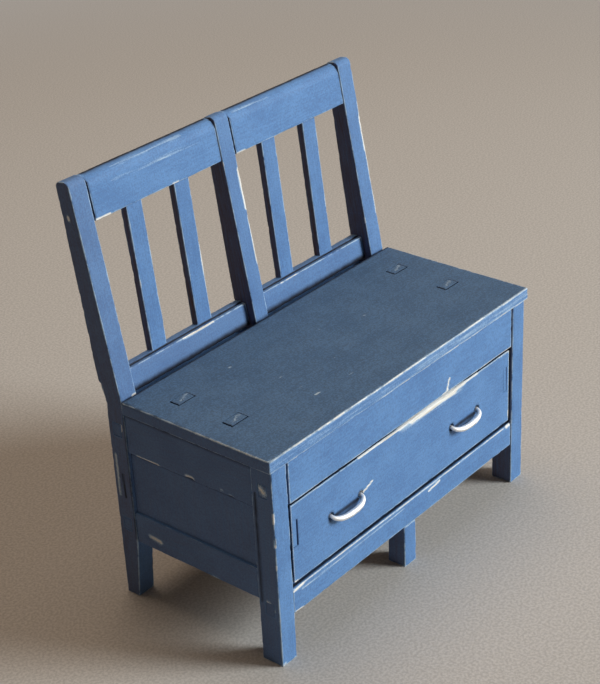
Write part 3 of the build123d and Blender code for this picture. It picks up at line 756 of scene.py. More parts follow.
frontLegValues = dict(boardValues, arris=0.22, nickAmount=0.4)
frontLegMarks = {
    "left": {
        "chips": [((-36, -20.2, 24.2), (-36, -20.2, 25.2), 0.4, 0.12)],
        "bare": [((-36, -20.2, 28.5), (-36, -20.2, 30.2), 0.42, 1.0),
                 ((-36, -20.2, 24.0), (-36, -20.2, 25.4), 0.5, 1.0),
                 ((-36, -20.2, 19.5), (-36, -20.2, 20.6), 0.35, 0.9),
                 ((-36, -18.9, 11.0), (-36, -17.9, 12.2), 0.9, 0.66),
                 ((-36, -18.5, 33.7), (-36, -17.7, 34.3), 1.2, 0.46),
                 ((-36, -20.2, 0.3), (-35.2, -20.2, 0.3), 0.5, 0.8)],
        # painted shadow line where the side panel meets the leg
        "soil": [((-36, -16.6, 12), (-36, -16.6, 33), 0.45, 0.8)],
    },
    "right": {
        # painted shade on its faces that look left
        "sides": 0.58,
        "chips": [((32.3, -20.2, 13.2), (32.3, -20.2, 13.9), 0.45, 0.12)],
        "bare": [((32.3, -20.2, 13.0), (32.3, -20.2, 14.2), 0.4, 0.9),
                 ((32.3, -20.2, 20.0), (32.3, -20.2, 22.5), 0.3, 0.8),
                 ((36, -20.2, 6.0), (36, -20.2, 9.0), 0.35, 0.8)],
        # painted shade in the gap beside the drawer's right end
        "soil": [((32.3, -19.45, 13.8), (32.3, -19.45, 29.6), 0.55, 1.0)],
    },
}
for side, sign in sides.items():
    low, high = nodeBox(f"leg_front_{side}")
    marks = frontLegMarks[side]
    leg = boxBoard(low, high, 2, frontLegValues, next(seeds), marks["chips"])
    cutShell(leg, [railMortise(node, sign) for node in ("apron", "rail_front_lower")])
    placePiece(f"legFront{side.title()}", [leg], [paint], f"leg_front_{side}", marks)
print("front legs built")


# Front and rear lines of a post, as heights along it and Y, Z places
def postLines():
    rootHeight = rakeOrigin[2] + backValues["rootRise"]
    top = rakeOrigin[2] + backValues["height"]
    inwards, upwards = rakedAcross[1][1:, 1:]

    def raked(depth, along):
        return rakeOrigin[1:] + depth * inwards + along * upwards

    front = [(0, rearBack - backValues["footDepth"], 0),
             (backValues["footTaper"], rearFront, backValues["footTaper"]),
             (rakeOrigin[2], rearFront, rakeOrigin[2]),
             (top, *raked(0, backValues["height"]))]
    rear = [(0, rearBack, 0),
            (frameTop, rearBack, frameTop),
            (rootHeight, *raked(backValues["rootDepth"], backValues["rootRise"])),
            (top, *raked(backValues["tipDepth"], backValues["height"]))]
    return np.array(front), np.array(rear)


postFront, postRear = postLines()
postTop = postFront[-1, 0]


# A post stands between its front and rear lines: point = front(u) + x across + t (rear(u) - front(u)) /
# |rear(u) - front(u)|. A quarter circle at each side rounds its top: it draws in by
# r - sqrt(r^2 - (u - top + r)^2) over the last r of its height.
def postShell(lowX, highX, base, values, seed, chips=()):
    def line(table, u):
        return np.stack([np.interp(u, table[:, 0], table[:, k]) for k in (1, 2)], axis=-1)

    def roundOff(u, radius):
        intoRound = np.clip(u - postTop + radius, 0, radius)
        return radius - np.sqrt(np.clip(radius ** 2 - intoRound ** 2, 0, None))

    def sectionAt(u):
        depth = np.linalg.norm(line(postRear, u) - line(postFront, u), axis=1)
        near, far = roundOff(u, backValues["frontRound"]), depth - roundOff(u, backValues["rearRound"])
        left, right = np.full(len(u), lowX), np.full(len(u), highX)
        corners = np.stack([np.stack(pair, axis=1) for pair in
                            ((left, near), (right, near), (right, far), (left, far))], axis=1)
        return corners, np.full((len(u), 4), values["arris"])

    def describe(points):
        behind, above = (points[:, 1:] - rakeOrigin[1:]).T
        depth, along = behind * rakeCosine - above * rakeSine, behind * rakeSine + above * rakeCosine
        raked = along > 0
        u = np.where(raked, rakeOrigin[2] + along, points[:, 2])
        through = np.where(raked, depth, points[:, 1] - np.interp(u, postFront[:, 0], postFront[:, 1]))
        full = np.linalg.norm(line(postRear, u) - line(postFront, u), axis=1)
        edge = arrisDistance([points[:, 0] - lowX, highX - points[:, 0], through, full - through,
                              u - base, postTop - u]) / values["wear"]
        return np.stack([u, points[:, 0], through], axis=1) + noiseShift * seed, edge

    bend = backValues["frontRound"] * (np.sin(np.linspace(0, np.pi / 2, 7)[1:-1]) - 1)
    knots = np.concatenate([postFront[1:-1, 0], postRear[1:-1, 0], postTop + bend])
    grid = boardGrid((base, postTop), sectionAt, values, seed, knots[knots > base + 0.1])
    u, across, through = grid[..., 0], grid[..., 1], grid[..., 2:]
    run = line(postRear, u) - line(postFront, u)
    place = line(postFront, u) + through * run / np.linalg.norm(run, axis=-1, keepdims=True)
    points = np.concatenate([across[..., None], place], axis=-1)
    edge = describe(points.reshape(-1, 3))[1].reshape(points.shape[:2])
    return gridShell(workedBoard(points, edge, values, seed, chips), describe)


# A place in the raked back: across, behind the posts' front face and along them
def onBack(x, depth, along):
    return rakedAcross[0] + np.array([x, depth, along]) @ rakedAcross[1]


# A mark on the raked back between two such places
def backMark(start, end, radius, strength):
    return onBack(*start), onBack(*end), radius, strength


postValues = dict(boardValues, arris=0.18, nickAmount=0.4)
# In these marks, sides is painted shade on faces that look left, and the dark marks along the side panel's
# joint and low down just above the seat are painted shade.
postMarks = {
    "left": {
        "film": 0.2,
        "sides": 0.5,
        "chips": [((-36, 16.3, 38.4), (-36, 16.9, 41.6), 0.8, 0.3),
                  ((-36, 12.9, 34.2), (-36, 12.9, 34.9), 0.4, 0.1)],
        "bare": [backMark((-36, 1.8, 33.0), (-36, 1.9, 33.7), 0.5, 0.9),
                 ((-36, 12.9, 34.1), (-36, 12.9, 35.0), 0.5, 1.0),
                 ((-36, 14.8, 20.8), (-36, 14.9, 28.8), 0.7, 0.55),
                 ((-36, 16.3, 38.2), (-36, 16.9, 41.8), 0.8, 0.75),
                 backMark((-33.2, 0, 1.2), (-32.6, 0, 1.2), 0.5, 1.0),
                 backMark((-32.3, 0, 14.0), (-32.3, 0, 17.0), 0.3, 0.8)],
        "soil": [((-36, 13.7, 25.2), (-36, 13.5, 20.7), 0.4, 0.9),
                 ((-36, 12.0, 12.5), (-36, 12.0, 37.0), 0.4, 0.6)],
    },
    "middle": {
        "film": 0.12,
        "sides": 0.72,
        "bare": [backMark((1.7, 0, 22.0), (1.7, 0, 29.0), 0.8, 1.0),
                 backMark((1.7, 0, 11.5), (1.7, 0, 20.5), 0.5, 0.8),
                 backMark((1.7, 0, 12.0), (1.7, 0, 13.6), 0.42, 0.9),
                 backMark((-1.7, 0, 30.0), (-1.7, 0, 31.5), 0.25, 0.8)],
        "soil": [backMark((-1.7, 0.2, 0.6), (1.7, 0.2, 0.6), 1.6, 0.9)],
    },
    "right": {
        "film": 0.1,
        "sides": 0.68,
        "bare": [backMark((36, 0, 9.0), (36, 0, 31.0), 0.5, 0.75),
                 backMark((36, 0, 21.5), (36, 0, 28.0), 0.8, 1.0),
                 backMark((32.3, 0, 8.0), (32.3, 0, 9.2), 0.3, 0.9)],
        "soil": [backMark((32.3, 0.2, 0.6), (36, 0.2, 0.6), 1.2, 0.8)],
    },
}
for side, sign in sides.items():
    low, high = nodeBox(f"leg_rear_{side}")
    leg = postShell(low[0], high[0], 0, postValues, next(seeds), postMarks[side].get("chips", ()))
    cutShell(leg, [railMortise(node, sign) for node in ("rail_rear_upper", "rail_rear_lower")])
    placePiece(f"legRear{side.title()}", [leg], [paint], f"leg_rear_{side}", postMarks[side])
middlePost = postShell(postLow[0], postHigh[0], frameTop, postValues, next(seeds))
placePiece("postMiddle", [middlePost], [paint], "post_middle", postMarks["middle"])
print("rear legs and posts built")


railValues = dict(boardValues, step=0.35)
tenonEndValues = dict(boardValues, arris=0.08, wear=0.1)
railPieces = {
    "apron": {
        "name": "apronBoard",
        "gaps": (0.74, 0.04),  # at its left and right shoulder
        "chips": [((11.6, -19.9, 30.4), (12.3, -19.9, 31.8), 0.3, 0.08)],
        # The pale lines along the whole bottom arris and the left arris are partly worn paint, partly
        # painted highlight.
        "bare": [((-31.6, -19.9, 29.8), (32.2, -19.9, 29.8), 0.3, 0.56),
                 ((-31.54, -19.9, 29.8), (-31.54, -19.9, 37.9), 0.28, 0.54),
                 ((11.7, -19.9, 30.0), (12.5, -19.9, 32.2), 0.4, 1.0),
                 ((10.4, -19.9, 29.8), (12.0, -19.9, 30.2), 0.35, 0.9),
                 ((-36, -18.5, 33.6), (-36, -17.6, 34.4), 1.3, 0.6)],
        # painted shade in the gap at its left shoulder
        "soil": [((-31.7, -19.5, 29.9), (-31.7, -19.5, 37.9), 0.35, 1.0)],
    },
    "rail_front_lower": {
        "name": "railFrontLower",
        "gaps": (0.2, 0.04),
        "chips": [((31.4, -20.0, 13.3), (32.2, -20.0, 13.3), 0.5, 0.12)],
        "bare": [((30.9, -20.0, 13.2), (32.3, -20.0, 13.3), 0.55, 1.0),
                 ((5.7, -20.0, 12.3), (9.2, -20.0, 12.7), 0.36, 1.0),
                 ((-32.2, -20.0, 12.9), (-29.4, -20.0, 13.2), 0.4, 1.0),
                 # partly worn paint, partly painted highlight along the whole top arris
                 ((-32.0, -20.0, 13.3), (32.2, -20.0, 13.3), 0.3, 0.62),
                 ((-30.0, -20.0, 12.3), (-1.5, -20.0, 12.5), 0.32, 0.58),
                 ((-31.0, -20.0, 8.6), (32.0, -20.0, 8.6), 0.26, 0.5),
                 ((-31.6, -20.0, 8.7), (-29.8, -20.0, 8.6), 0.35, 0.9)],
        # painted shade under the drawer's gap and beside the left leg
        "soil": [((-32, -19.3, 13.4), (32, -19.3, 13.4), 0.5, 1.0),
                 ((-32.1, -19.7, 8.6), (-32.1, -19.7, 13.3), 0.3, 0.9)],
    },
    "rail_rear_upper": {"name": "railRearUpper", "gaps": (0.05, 0.05)},
    "rail_rear_lower": {"name": "railRearLower", "gaps": (0.05, 0.05)},
}
for node, marks in railPieces.items():
    low, high = nodeBox(node)
    y, z = railTenon(node)
    seed = next(seeds)
    leftGap, rightGap = marks["gaps"]
    body = boxBoard((-innerX + leftGap, low[1], low[2]), (innerX - rightGap, high[1], high[2]), 0,
                    railValues, seed, marks.get("chips", ()))
    tenonStart, tenonEnd = halfWidth - jointValues["tenonDepth"], halfWidth + jointValues["proud"]
    tenons = [boxBoard((x[0], y[0], z[0]), (x[1], y[1], z[1]), 0, tenonEndValues, seed)
              for x in ((-tenonEnd, -tenonStart), (tenonStart, tenonEnd))]
    placePiece(marks["name"], [body] + tenons, [paint], node, marks)
print("long rails built")


# Boards that keep their node's whole box, cut short of the neighbours that they run into
def plainBoard(name, node, axis, values, lowGap=(0, 0, 0), highGap=(0, 0, 0), marks=None, coat=paint,
               slot="blue_paint"):
    low, high = nodeBox(node)
    chips = (marks or {}).get("chips", ())
    board = boxBoard(low + lowGap, high - np.array(highGap), axis, values, next(seeds), chips)
    placePiece(name, [board], [coat], node, marks)


middleLegValues = dict(boardValues, arris=0.25, hiddenTenon=2.0)
hidden = (0, 0, middleLegValues["hiddenTenon"])
# painted shade on its faces that look left
plainBoard("legMiddle", "leg_middle", 2, middleLegValues, highGap=hidden, marks={"sides": 0.5})
sideRailValues = dict(boardValues, nickAmount=0.45, wear=0.4, hiddenTenon=0.83)
# The dark marks along the top of the upper side rails, just below the seat, are painted shade.
sideRailMarks = {
    ("upper", "left"): {
        "chips": [((-35.8, -2.6, 30.2), (-35.8, -1.6, 30.2), 0.6, 0.2),
                  ((-35.8, -11.3, 30.2), (-35.8, -10.8, 30.2), 0.45, 0.15)],
        "bare": [((-35.8, -2.7, 30.3), (-35.8, -1.5, 30.3), 0.85, 0.76),
                 ((-35.8, -11.4, 30.2), (-35.8, -10.8, 30.2), 0.5, 0.68),
                 ((-35.8, -9.3, 30.6), (-35.8, -8.9, 30.5), 0.45, 0.64),
                 ((-35.8, 4.8, 30.1), (-35.8, 9.8, 30.1), 0.38, 0.74)],
        "soil": [((-35.8, -16.0, 37.9), (-35.8, 12.0, 37.9), 1.2, 0.8)],
    },
    ("lower", "left"): {
        "chips": [((-35.8, 6.3, 14.0), (-35.8, 8.9, 14.2), 0.9, 0.2)],
        "bare": [((-35.8, 6.4, 14.0), (-35.8, 8.8, 14.2), 0.9, 0.74),
                 ((-35.8, -7.0, 12.2), (-35.8, -5.5, 12.2), 0.35, 0.56)],
    },
    ("upper", "right"): {
        "bare": [((35.8, 3.0, 30.1), (35.8, 5.2, 30.1), 0.4, 0.9)],
        "soil": [((35.8, -16.0, 37.9), (35.8, 12.0, 37.9), 1.0, 0.6)],
    },
    ("lower", "right"): {
        "chips": [((35.8, -3.0, 17.9), (35.8, -1.8, 17.9), 0.5, 0.15)],
        "bare": [((35.8, -3.2, 17.9), (35.8, -1.6, 17.9), 0.5, 0.9)],
    },
}
panelValues = dict(boardValues, arris=0.08, wave=0.05, waveLength=4.0, wear=0.3)
panelShade = {"inset": 0.3, "railEdge": 29.9}  # painted shade lines beside the legs, and under the upper rail
hidden = (0, sideRailValues["hiddenTenon"], 0)
for side, sign in sides.items():
    for level in ("upper", "lower"):
        plainBoard(f"railSide{level.title()}{side.title()}", f"rail_side_{level}_{side}", 1, sideRailValues,
                   hidden, hidden, sideRailMarks[level, side])
    low, high = nodeBox(f"panel_side_{side}")
    face = high[0] if sign > 0 else low[0]
    front, back, edge = low[1] + panelShade["inset"], high[1] - panelShade["inset"], panelShade["railEdge"]
    # painted shade lines where the panel meets the legs and the upper rail
    rim = [((face, front, low[2]), (face, front, high[2]), 0.8, 1.0),
           ((face, back, low[2]), (face, back, high[2]), 0.7, 0.9),
           ((face, low[1], edge), (face, high[1], edge), 0.6, 0.7)]
    plainBoard(f"panelSide{side.title()}", f"panel_side_{side}", 2, panelValues, marks={"soil": rim})
plainBoard("panelRear", "panel_rear", 2, panelValues)
print("side rails and panels built")


# Raked boards of the back, bay by bay. The lower rails have a ledge, on which the slats stand
crestValues = dict(boardValues, nickAmount=0.4)
crestShape = {
    "inset": 0.15,  # behind the posts' front face
    "thickness": 2.7,
    "low": 31.6,
    "drop": 0.15,  # below the posts' tops
    "frontRound": 2.0,
    "rearRound": 0.6,
    "gaps": (0.38, 0.05),  # at the left and right post
    "dirtInset": 0.8,  # from the ends and the rear to the painted shade along the top rear arris
}
crestMarks = {
    "left": {
        "bare": [backMark((-32, 0.15, 31.7), (-28.6, 0.15, 31.7), 0.35, 1.0),
                 backMark((-14, 0.15, 31.7), (-12.6, 0.15, 31.7), 0.3, 0.9),
                 backMark((-27, 0.15, 36.7), (-6, 0.15, 36.7), 0.36, 0.55),
                 backMark((-21, 0.15, 36.7), (-10.5, 0.15, 36.7), 0.3, 0.9),
                 backMark((-26, 0.75, 38.7), (-9.5, 0.75, 38.7), 0.26, 0.42)],
    },
    "right": {
        "bare": [backMark((2, 0.15, 31.7), (4.6, 0.15, 31.7), 0.3, 0.9),
                 backMark((3.5, 0.75, 38.7), (13, 0.75, 38.7), 0.26, 0.4),
                 backMark((24, 2.6, 39.3), (26, 2.6, 39.3), 0.4, 0.8)],
    },
}
ledgeShape = {
    "inset": 1.6,
    "thickness": 2.6,
    "low": 0.8,
    "high": 5.1,
    "ledge": 1.1,  # depth of the ledge in front of the step
    "step": 0.3,
    "radii": [0.2, 0.2, 0.2, 0.1, 0.06, 0.22],
    "gap": 0.05,
}
ledgeMarks = {
    "left": {"film": 0.2, "bare": [backMark((-18.2, 1.6, 5.1), (-10.2, 1.6, 5.1), 0.36, 1.0)]},
    "right": {"film": 0.14, "bare": [backMark((8.0, 1.6, 5.1), (12.5, 1.6, 5.1), 0.33, 0.9)]},
}
bays = {"left": (-innerX, postLow[0]), "right": (postHigh[0], innerX)}
for side, bay in bays.items():
    near, far = crestShape["inset"], crestShape["inset"] + crestShape["thickness"]
    bottom, top = crestShape["low"], backValues["height"] - crestShape["drop"]
    span = (bay[0] + crestShape["gaps"][0], bay[1] - crestShape["gaps"][1])
    corners = [(near, bottom), (far, bottom), (far, top), (near, top)]
    radii = [crestValues["arris"]] * 2 + [crestShape["rearRound"], crestShape["frontRound"]]
    crest = sectionBoard(span, corners, radii, rakedAcross, crestValues, next(seeds))
    # painted shade in the gaps at the posts, and along the top rear arris
    shadeAndDirt = [backMark((x, 0.4, bottom), (x, 0.4, top), 0.4, 0.9) for x in span]
    inset = crestShape["dirtInset"]
    shadeAndDirt.append(backMark((span[0] + inset, far - inset, top), (span[1] - inset, far - inset, top), 0.85,
                         0.95))
    marks = dict(crestMarks[side], soil=shadeAndDirt)
    placePiece(f"crest{side.title()}", [crest], [paint], f"crest_{side}", marks)

    near, far = ledgeShape["inset"], ledgeShape["inset"] + ledgeShape["thickness"]
    bottom, top, ledge = ledgeShape["low"], ledgeShape["high"], near + ledgeShape["ledge"]
    crown = top + ledgeShape["step"]
    corners = [(near, bottom), (far, bottom), (far, crown), (ledge, crown), (ledge, top), (near, top)]
    outer = [(near, bottom), (far, bottom), (far, crown), (near, top)]
    span = (bay[0] + ledgeShape["gap"], bay[1] - ledgeShape["gap"])
    rail = sectionBoard(span, corners, ledgeShape["radii"], rakedAcross, crestValues, next(seeds),
                        hull=outer)
    # painted shade along the bottom above the seat, in the corner behind the ledge and at the left end
    shadeAndDirt = [backMark((span[0], near, bottom), (span[1], near, bottom), 1.4, 1.0),
            backMark((span[0], ledge - 0.1, top), (span[1], ledge - 0.1, top), 0.4, 1.0),
            backMark((span[0], near, bottom), (span[0], near, top), 0.4, 0.9)]
    marks = dict(ledgeMarks[side], soil=shadeAndDirt)
    placePiece(f"backRail{side.title()}", [rail], [paint], f"back_rail_{side}", marks)
print("crests and back rails built")


# Slats run from the ledge up into the crest, a little steeper than the posts
slatShape = {
    "thickness": 1.5,
    "topInset": 0.9,  # behind the posts' front face, at the crest
    "let": 0.5,  # how far each end goes into its neighbour
}
slatValues = dict(boardValues, arris=0.15)
slatBare = [backMark((-24.5, 1.9, 17.0), (-24.5, 1.8, 18.4), 0.28, 0.9),
            backMark((-9.5, 2.38, 10.0), (-9.5, 1.72, 19.6), 0.28, 1.0),
            backMark((13.1, 1.5, 22.0), (13.1, 1.2, 26.0), 0.26, 0.9),
            backMark((24.5, 2.1, 14.0), (24.5, 2.0, 15.6), 0.26, 0.9)]
rakeIn, rakeUp = rakedAcross[1][1], rakedAcross[1][2]
halfSlat = slatShape["thickness"] / 2
footDepth = ledgeShape["inset"] + ledgeShape["ledge"] + halfSlat
slatFoot = rakeOrigin + rakeIn * footDepth + rakeUp * (ledgeShape["high"] + ledgeShape["step"])
slatHead = rakeOrigin + rakeIn * (slatShape["topInset"] + halfSlat) + rakeUp * crestShape["low"]
slatLength = np.linalg.norm(slatHead - slatFoot)
slatUp = (slatHead - slatFoot) / slatLength
slatDirections = np.array([slatUp, [1, 0, 0], np.cross(slatUp, [1, 0, 0])])
for number, bare in enumerate(slatBare, 1):
    low, high = nodeBox(f"slat_{number}")
    x = (low[0] + high[0]) / 2
    near, far = low[0] - x, high[0] - x
    corners = [(near, -halfSlat), (far, -halfSlat), (far, halfSlat), (near, halfSlat)]
    slat = sectionBoard((-slatShape["let"], slatLength + slatShape["let"]), corners,
                        [slatValues["arris"]] * 4, (slatFoot + (x, 0, 0), slatDirections), slatValues,
                        next(seeds))
    # sides: painted shade on the slats' faces that look left
    marks = {"sides": 0.75, "film": 0.08, "bare": [bare]}
    placePiece(f"slat{number}", [slat], [paint], f"slat_{number}", marks)
print("slats built")


# Seat board and its battens, whose pegs come up through it
seatValues = dict(boardValues, arris=0.26, endRound=0.22, wave=0.04, waveLength=9.0, nick=0.08,
                  rimWidth=1.0, rimSlope=0.6)
pegShape = {
    "length": 2.0,
    "spacing": 11.6,
    "play": 0.03,  # beside a peg, at its right and rear
    "openPlay": 0.38,  # at its left and front, where a dark gap shows
    "sunk": 0.03,
    "foot": 0.4,  # how far a peg goes into its batten
    "holeFoot": 0.5,
    # below the top, where the painted shade in a peg's gaps lies
    "dirtDepth": 0.5,
    "worn": ((0.5, 0.6, 0), (2.4, 1.3, 0)),  # a pale patch from its rear right corner, partly wear, partly painted highlight
}
pegValues = dict(boardValues, arris=0.06, wear=0.1)
seatLow, seatHigh = nodeBox("seat_board")
seatMarks = {
    "chips": [((-36.6, 11.0, 40.3), (-36.6, 10.2, 40.3), 0.6, 0.15),
              ((-36.6, -20.4, 40.3), (-36.2, -20.6, 40.3), 0.5, 0.12)],
    # These first nine pale marks, along the seat's arrises and across its front face, are partly worn
    # paint, partly painted highlight.
    "bare": [((-36.6, -20.6, 40.3), (36.6, -20.6, 40.3), 0.55, 0.62),
             ((-22.0, -20.6, 40.3), (22.0, -20.6, 40.3), 0.42, 0.84),
             ((-36.6, -20.6, 40.3), (-36.6, -5.0, 40.3), 0.4, 0.66),
             ((-36.6, -5.0, 40.3), (-36.6, 11.6, 40.3), 0.34, 0.54),
             ((36.6, -20.6, 40.3), (36.6, 4.0, 40.3), 0.42, 0.62),
             ((-36.6, -20.6, 38.1), (-8.0, -20.6, 38.1), 0.4, 0.55),
             ((-8.0, -20.6, 38.1), (36.6, -20.6, 38.1), 0.5, 0.64),
             ((-36.6, -20.6, 39.1), (36.6, -20.6, 39.1), 1.3, 0.28),
             ((2.0, -20.6, 39.1), (36.6, -20.6, 39.1), 1.2, 0.36),
             ((-4.6, -7.8, 40.3), (-3.1, -7.6, 40.3), 0.2, 0.56),
             ((-16.1, -4.9, 40.3), (-14.5, -4.7, 40.3), 0.2, 0.62),
             ((1.7, 0.8, 40.3), (2.3, 0.7, 40.3), 0.22, 0.6),
             ((10.6, -2.6, 40.3), (11.5, -2.6, 40.3), 0.22, 0.56),
             ((-17.8, 4.6, 40.3), (-16.9, 4.7, 40.3), 0.2, 0.52),
             ((-15.9, -9.5, 40.3), (-15.0, -9.5, 40.3), 0.22, 0.56),
             ((0.7, -6.8, 40.3), (1.5, -6.8, 40.3), 0.18, 0.48),
             ((-16.4, -13.2, 40.3), (-15.0, -13.2, 40.3), 0.22, 0.56),
             ((-7.8, -13.6, 40.3), (-6.7, -13.6, 40.3), 0.18, 0.46)],
    # painted shade along the rear edge
    "soil": [((-36.6, 11.5, 40.3), (36.6, 11.5, 40.3), 0.6, 0.8)],
}
cutters, pegs = [], {side: [] for side in sides}
for side in sides:
    low, high = nodeBox(f"batten_{side}")
    centre = (low[1] + high[1]) / 2
    for end in (-1, 1):
        y = centre + end * pegShape["spacing"] / 2
        pegLow = np.array([low[0], y - pegShape["length"] / 2, frameTop - pegShape["foot"]])
        pegHigh = np.array([high[0], y + pegShape["length"] / 2, seatHigh[2] - pegShape["sunk"]])
        pegs[side].append((pegLow, pegHigh))
        holeLow, holeHigh = pegLow - pegShape["openPlay"], pegHigh + pegShape["play"] + (0, 0, 1)
        holeLow[2] = frameTop - pegShape["holeFoot"]
        cutters.append(boxCutter(holeLow, holeHigh))
        # painted shade in the gaps at the left and front of each peg's opening
        shadeZ = seatHigh[2] - pegShape["dirtDepth"]
        corner = (holeLow[0], holeLow[1], shadeZ)
        seatMarks["soil"] += [(corner, (holeHigh[0], holeLow[1], shadeZ), 0.5, 1.0),
                              (corner, (holeLow[0], holeHigh[1], shadeZ), 0.5, 1.0)]
seat = boxBoard(seatLow, seatHigh, 0, seatValues, next(seeds), seatMarks["chips"])
cutShell(seat, cutters)
seatMesh = placePiece("seatBoard", [seat], [seatPaint, paint], "seat_board", seatMarks).data

# The seat's top is slate blue, and its narrow outer faces, its rim, have the frame's blue
facing = np.zeros(len(seatMesh.polygons) * 3)
middles = np.zeros(len(facing))
seatMesh.polygons.foreach_get("normal", facing)
seatMesh.polygons.foreach_get("center", middles)
middles = middles.reshape(-1, 3)[:, :2] / millimetre
fromEdge = np.minimum(middles - seatLow[:2], seatHigh[:2] - middles).min(axis=1)
rim = (np.abs(facing[2::3]) < seatValues["rimSlope"]) & (fromEdge <= seatValues["rimWidth"])
seatMesh.polygons.foreach_set("material_index", rim.astype(np.int32))

for side in sides:
    low, high = nodeBox(f"batten_{side}")
    seed = next(seeds)
    batten = boxBoard(low, (high[0], high[1], frameTop), 1, boardValues, seed)
    ends = [boxBoard(pegLow, pegHigh, 2, pegValues, seed, slot=1) for pegLow, pegHigh in pegs[side]]
    marks = {"bare": [], "soil": []}
    for pegLow, pegHigh in pegs[side]:
        start, end = (pegHigh - place for place in pegShape["worn"])
        marks["bare"].append((start, end, 1.0, 0.33))
        # painted shade in the gaps at the left and front of each peg
        shadeZ = pegHigh[2] - pegShape["dirtDepth"]
        corner = (pegLow[0], pegLow[1], shadeZ)
        marks["soil"] += [(corner, (pegLow[0], pegHigh[1], shadeZ), 0.6, 1.0),
                          (corner, (pegHigh[0], pegLow[1], shadeZ), 0.6, 1.0)]
    placePiece(f"batten{side.title()}", [batten] + ends, [pine, seatPaint], f"batten_{side}", marks)
print("seat built")


# Pull-out box. Its front board has holes for the handles' wire and slots where the sides' tenons show.
# It is a little short and low, so that dark gaps show round it.
drawerValues = dict(boardValues, step=0.33, arris=0.14, nickAmount=0.35)
boxShape = {
    "shortEnd": 0.6,  # how much the front board stops short at its left end
    "shortTop": 0.24,
    "holeRadius": 0.75,
    "holeDirt": 0.5,  # reach of the painted shade round a hole
    "tenonThickness": 1.0,
    "tenonHeight": 5.0,
    "tenonDrop": 0.8,
    "tenonLength": 4.0,  # into its side
    "tenonSunk": 0.03,
    "gapInside": {"left": 0.32, "right": 0.1},
    "gapOutside": 0.04,
    "slotPlay": 0.04,  # above and below a tenon
    "slotFloor": 0.2,  # wood left behind a slot
    # how far from the front the painted shade beside a tenon slot lies
    "slotDirt": 0.3,
    "sideStep": 0.02,  # between the front board and a side
    "handleSpread": 8.0,  # between a handle's holes
    "handleDirt": ((-0.42, 0.4), -0.45),  # painted shadow behind a handle's bow: its ends by that spread, and its height
}
drawerLow, drawerHigh = nodeBox("drawer_front")
drawerTop = drawerHigh[2] - boxShape["shortTop"]
drawerEnd = drawerLow[0] + boxShape["shortEnd"]
drawerMarks = {
    "chips": [((-2.0, -19.7, 29.2), (14.0, -19.7, 29.2), 0.5, 0.12)],
    "bare": [((-13.5, -19.7, drawerTop), (21.5, -19.7, drawerTop), 0.5, 0.92),
             ((-2.0, -19.7, drawerTop), (17.5, -19.7, drawerTop), 0.85, 0.92),
             ((1.5, -19.7, drawerTop - 0.2), (14.5, -19.7, drawerTop - 0.3), 1.15, 0.95),
             ((-1.0, -19.7, drawerTop - 0.7), (16.5, -19.7, drawerTop - 0.8), 1.7, 0.36),
             # thin pale lines along its arrises: partly worn paint, partly painted highlight
             ((19.0, -19.7, drawerTop), (31.7, -19.7, drawerTop), 0.3, 0.62),
             ((-31.3, -19.7, drawerTop), (-13.0, -19.7, drawerTop), 0.26, 0.56),
             ((drawerEnd, -19.7, 14.2), (drawerEnd, -19.7, 29.0), 0.3, 0.56),
             ((31.85, -19.7, 14.2), (31.85, -19.7, 29.0), 0.3, 0.56),
             ((drawerEnd, -19.7, 14.15), (31.8, -19.7, 14.15), 0.28, 0.52),
             ((-13.4, -19.7, 21.5), (-10.0, -19.7, 22.7), 0.36, 1.0),
             ((drawerEnd, -19.7, 14.2), (-30.6, -19.7, 14.2), 0.4, 1.0),
             ((31.8, -19.7, 15.0), (31.8, -19.7, 16.2), 0.3, 0.9)],
    # painted shade in the gaps along its top and its left end
    "soil": [((drawerEnd, -19.25, drawerTop), (31.9, -19.25, drawerTop), 0.5, 1.0),
             ((drawerEnd, -19.25, 14.2), (drawerEnd, -19.25, 29.2), 0.5, 1.0)],
}
handleCentres = {side: sum(nodeBox(f"handle_{side}")) / 2 for side in sides}
handleSpread = boxShape["handleSpread"]
handleHeight = (drawerLow[2] + drawerHigh[2]) / 2
boardFront = drawerLow[1]
shadeEnds, shadeHeight = boxShape["handleDirt"]
cutters, tenons = [], {}
for side, sign in sides.items():
    low, high = nodeBox(f"drawer_side_{side}")
    x = middleSpan(low[0], high[0], boxShape["tenonThickness"])
    top = high[2] - boxShape["tenonDrop"]
    bottom = top - boxShape["tenonHeight"]
    tenonFront, tenonBack = boardFront + boxShape["tenonSunk"], low[1] + boxShape["tenonLength"]
    tenons[side] = ((x[0], tenonFront, bottom), (x[1], tenonBack, top))
    gaps = (boxShape["gapInside"][side], boxShape["gapOutside"])[::sign]
    slotLow = np.array([x[0] - gaps[0], boardFront - 1, bottom - boxShape["slotPlay"]])
    slotHigh = np.array([x[1] + gaps[1], drawerHigh[1] - boxShape["slotFloor"], top + boxShape["slotPlay"]])
    cutters.append(boxCutter(slotLow, slotHigh))
    # painted shade beside each tenon slot and behind each handle's bow
    slotX, slotY = slotHigh[0], boardFront + boxShape["slotDirt"]
    middle = handleCentres[side][0]
    behind = [(middle + share * handleSpread, boardFront, handleHeight + shadeHeight) for share in shadeEnds]
    drawerMarks["soil"] += [((slotX, slotY, bottom), (slotX, slotY, top), 0.4, 1.0),
                            (behind[0], behind[1], 0.75, 0.8)]
    for end in (-1, 1):
        holeX = middle + end * handleSpread / 2
        radius = boxShape["holeRadius"]
        cutters.append(rodCutter(holeX, handleHeight, radius, boardFront - 1, drawerHigh[1] + 1))
        # painted shade round each hole
        hole = [(holeX, y, handleHeight) for y in (boardFront, drawerHigh[1])]
        drawerMarks["soil"].append((hole[0], hole[1], radius + boxShape["holeDirt"], 1.0))
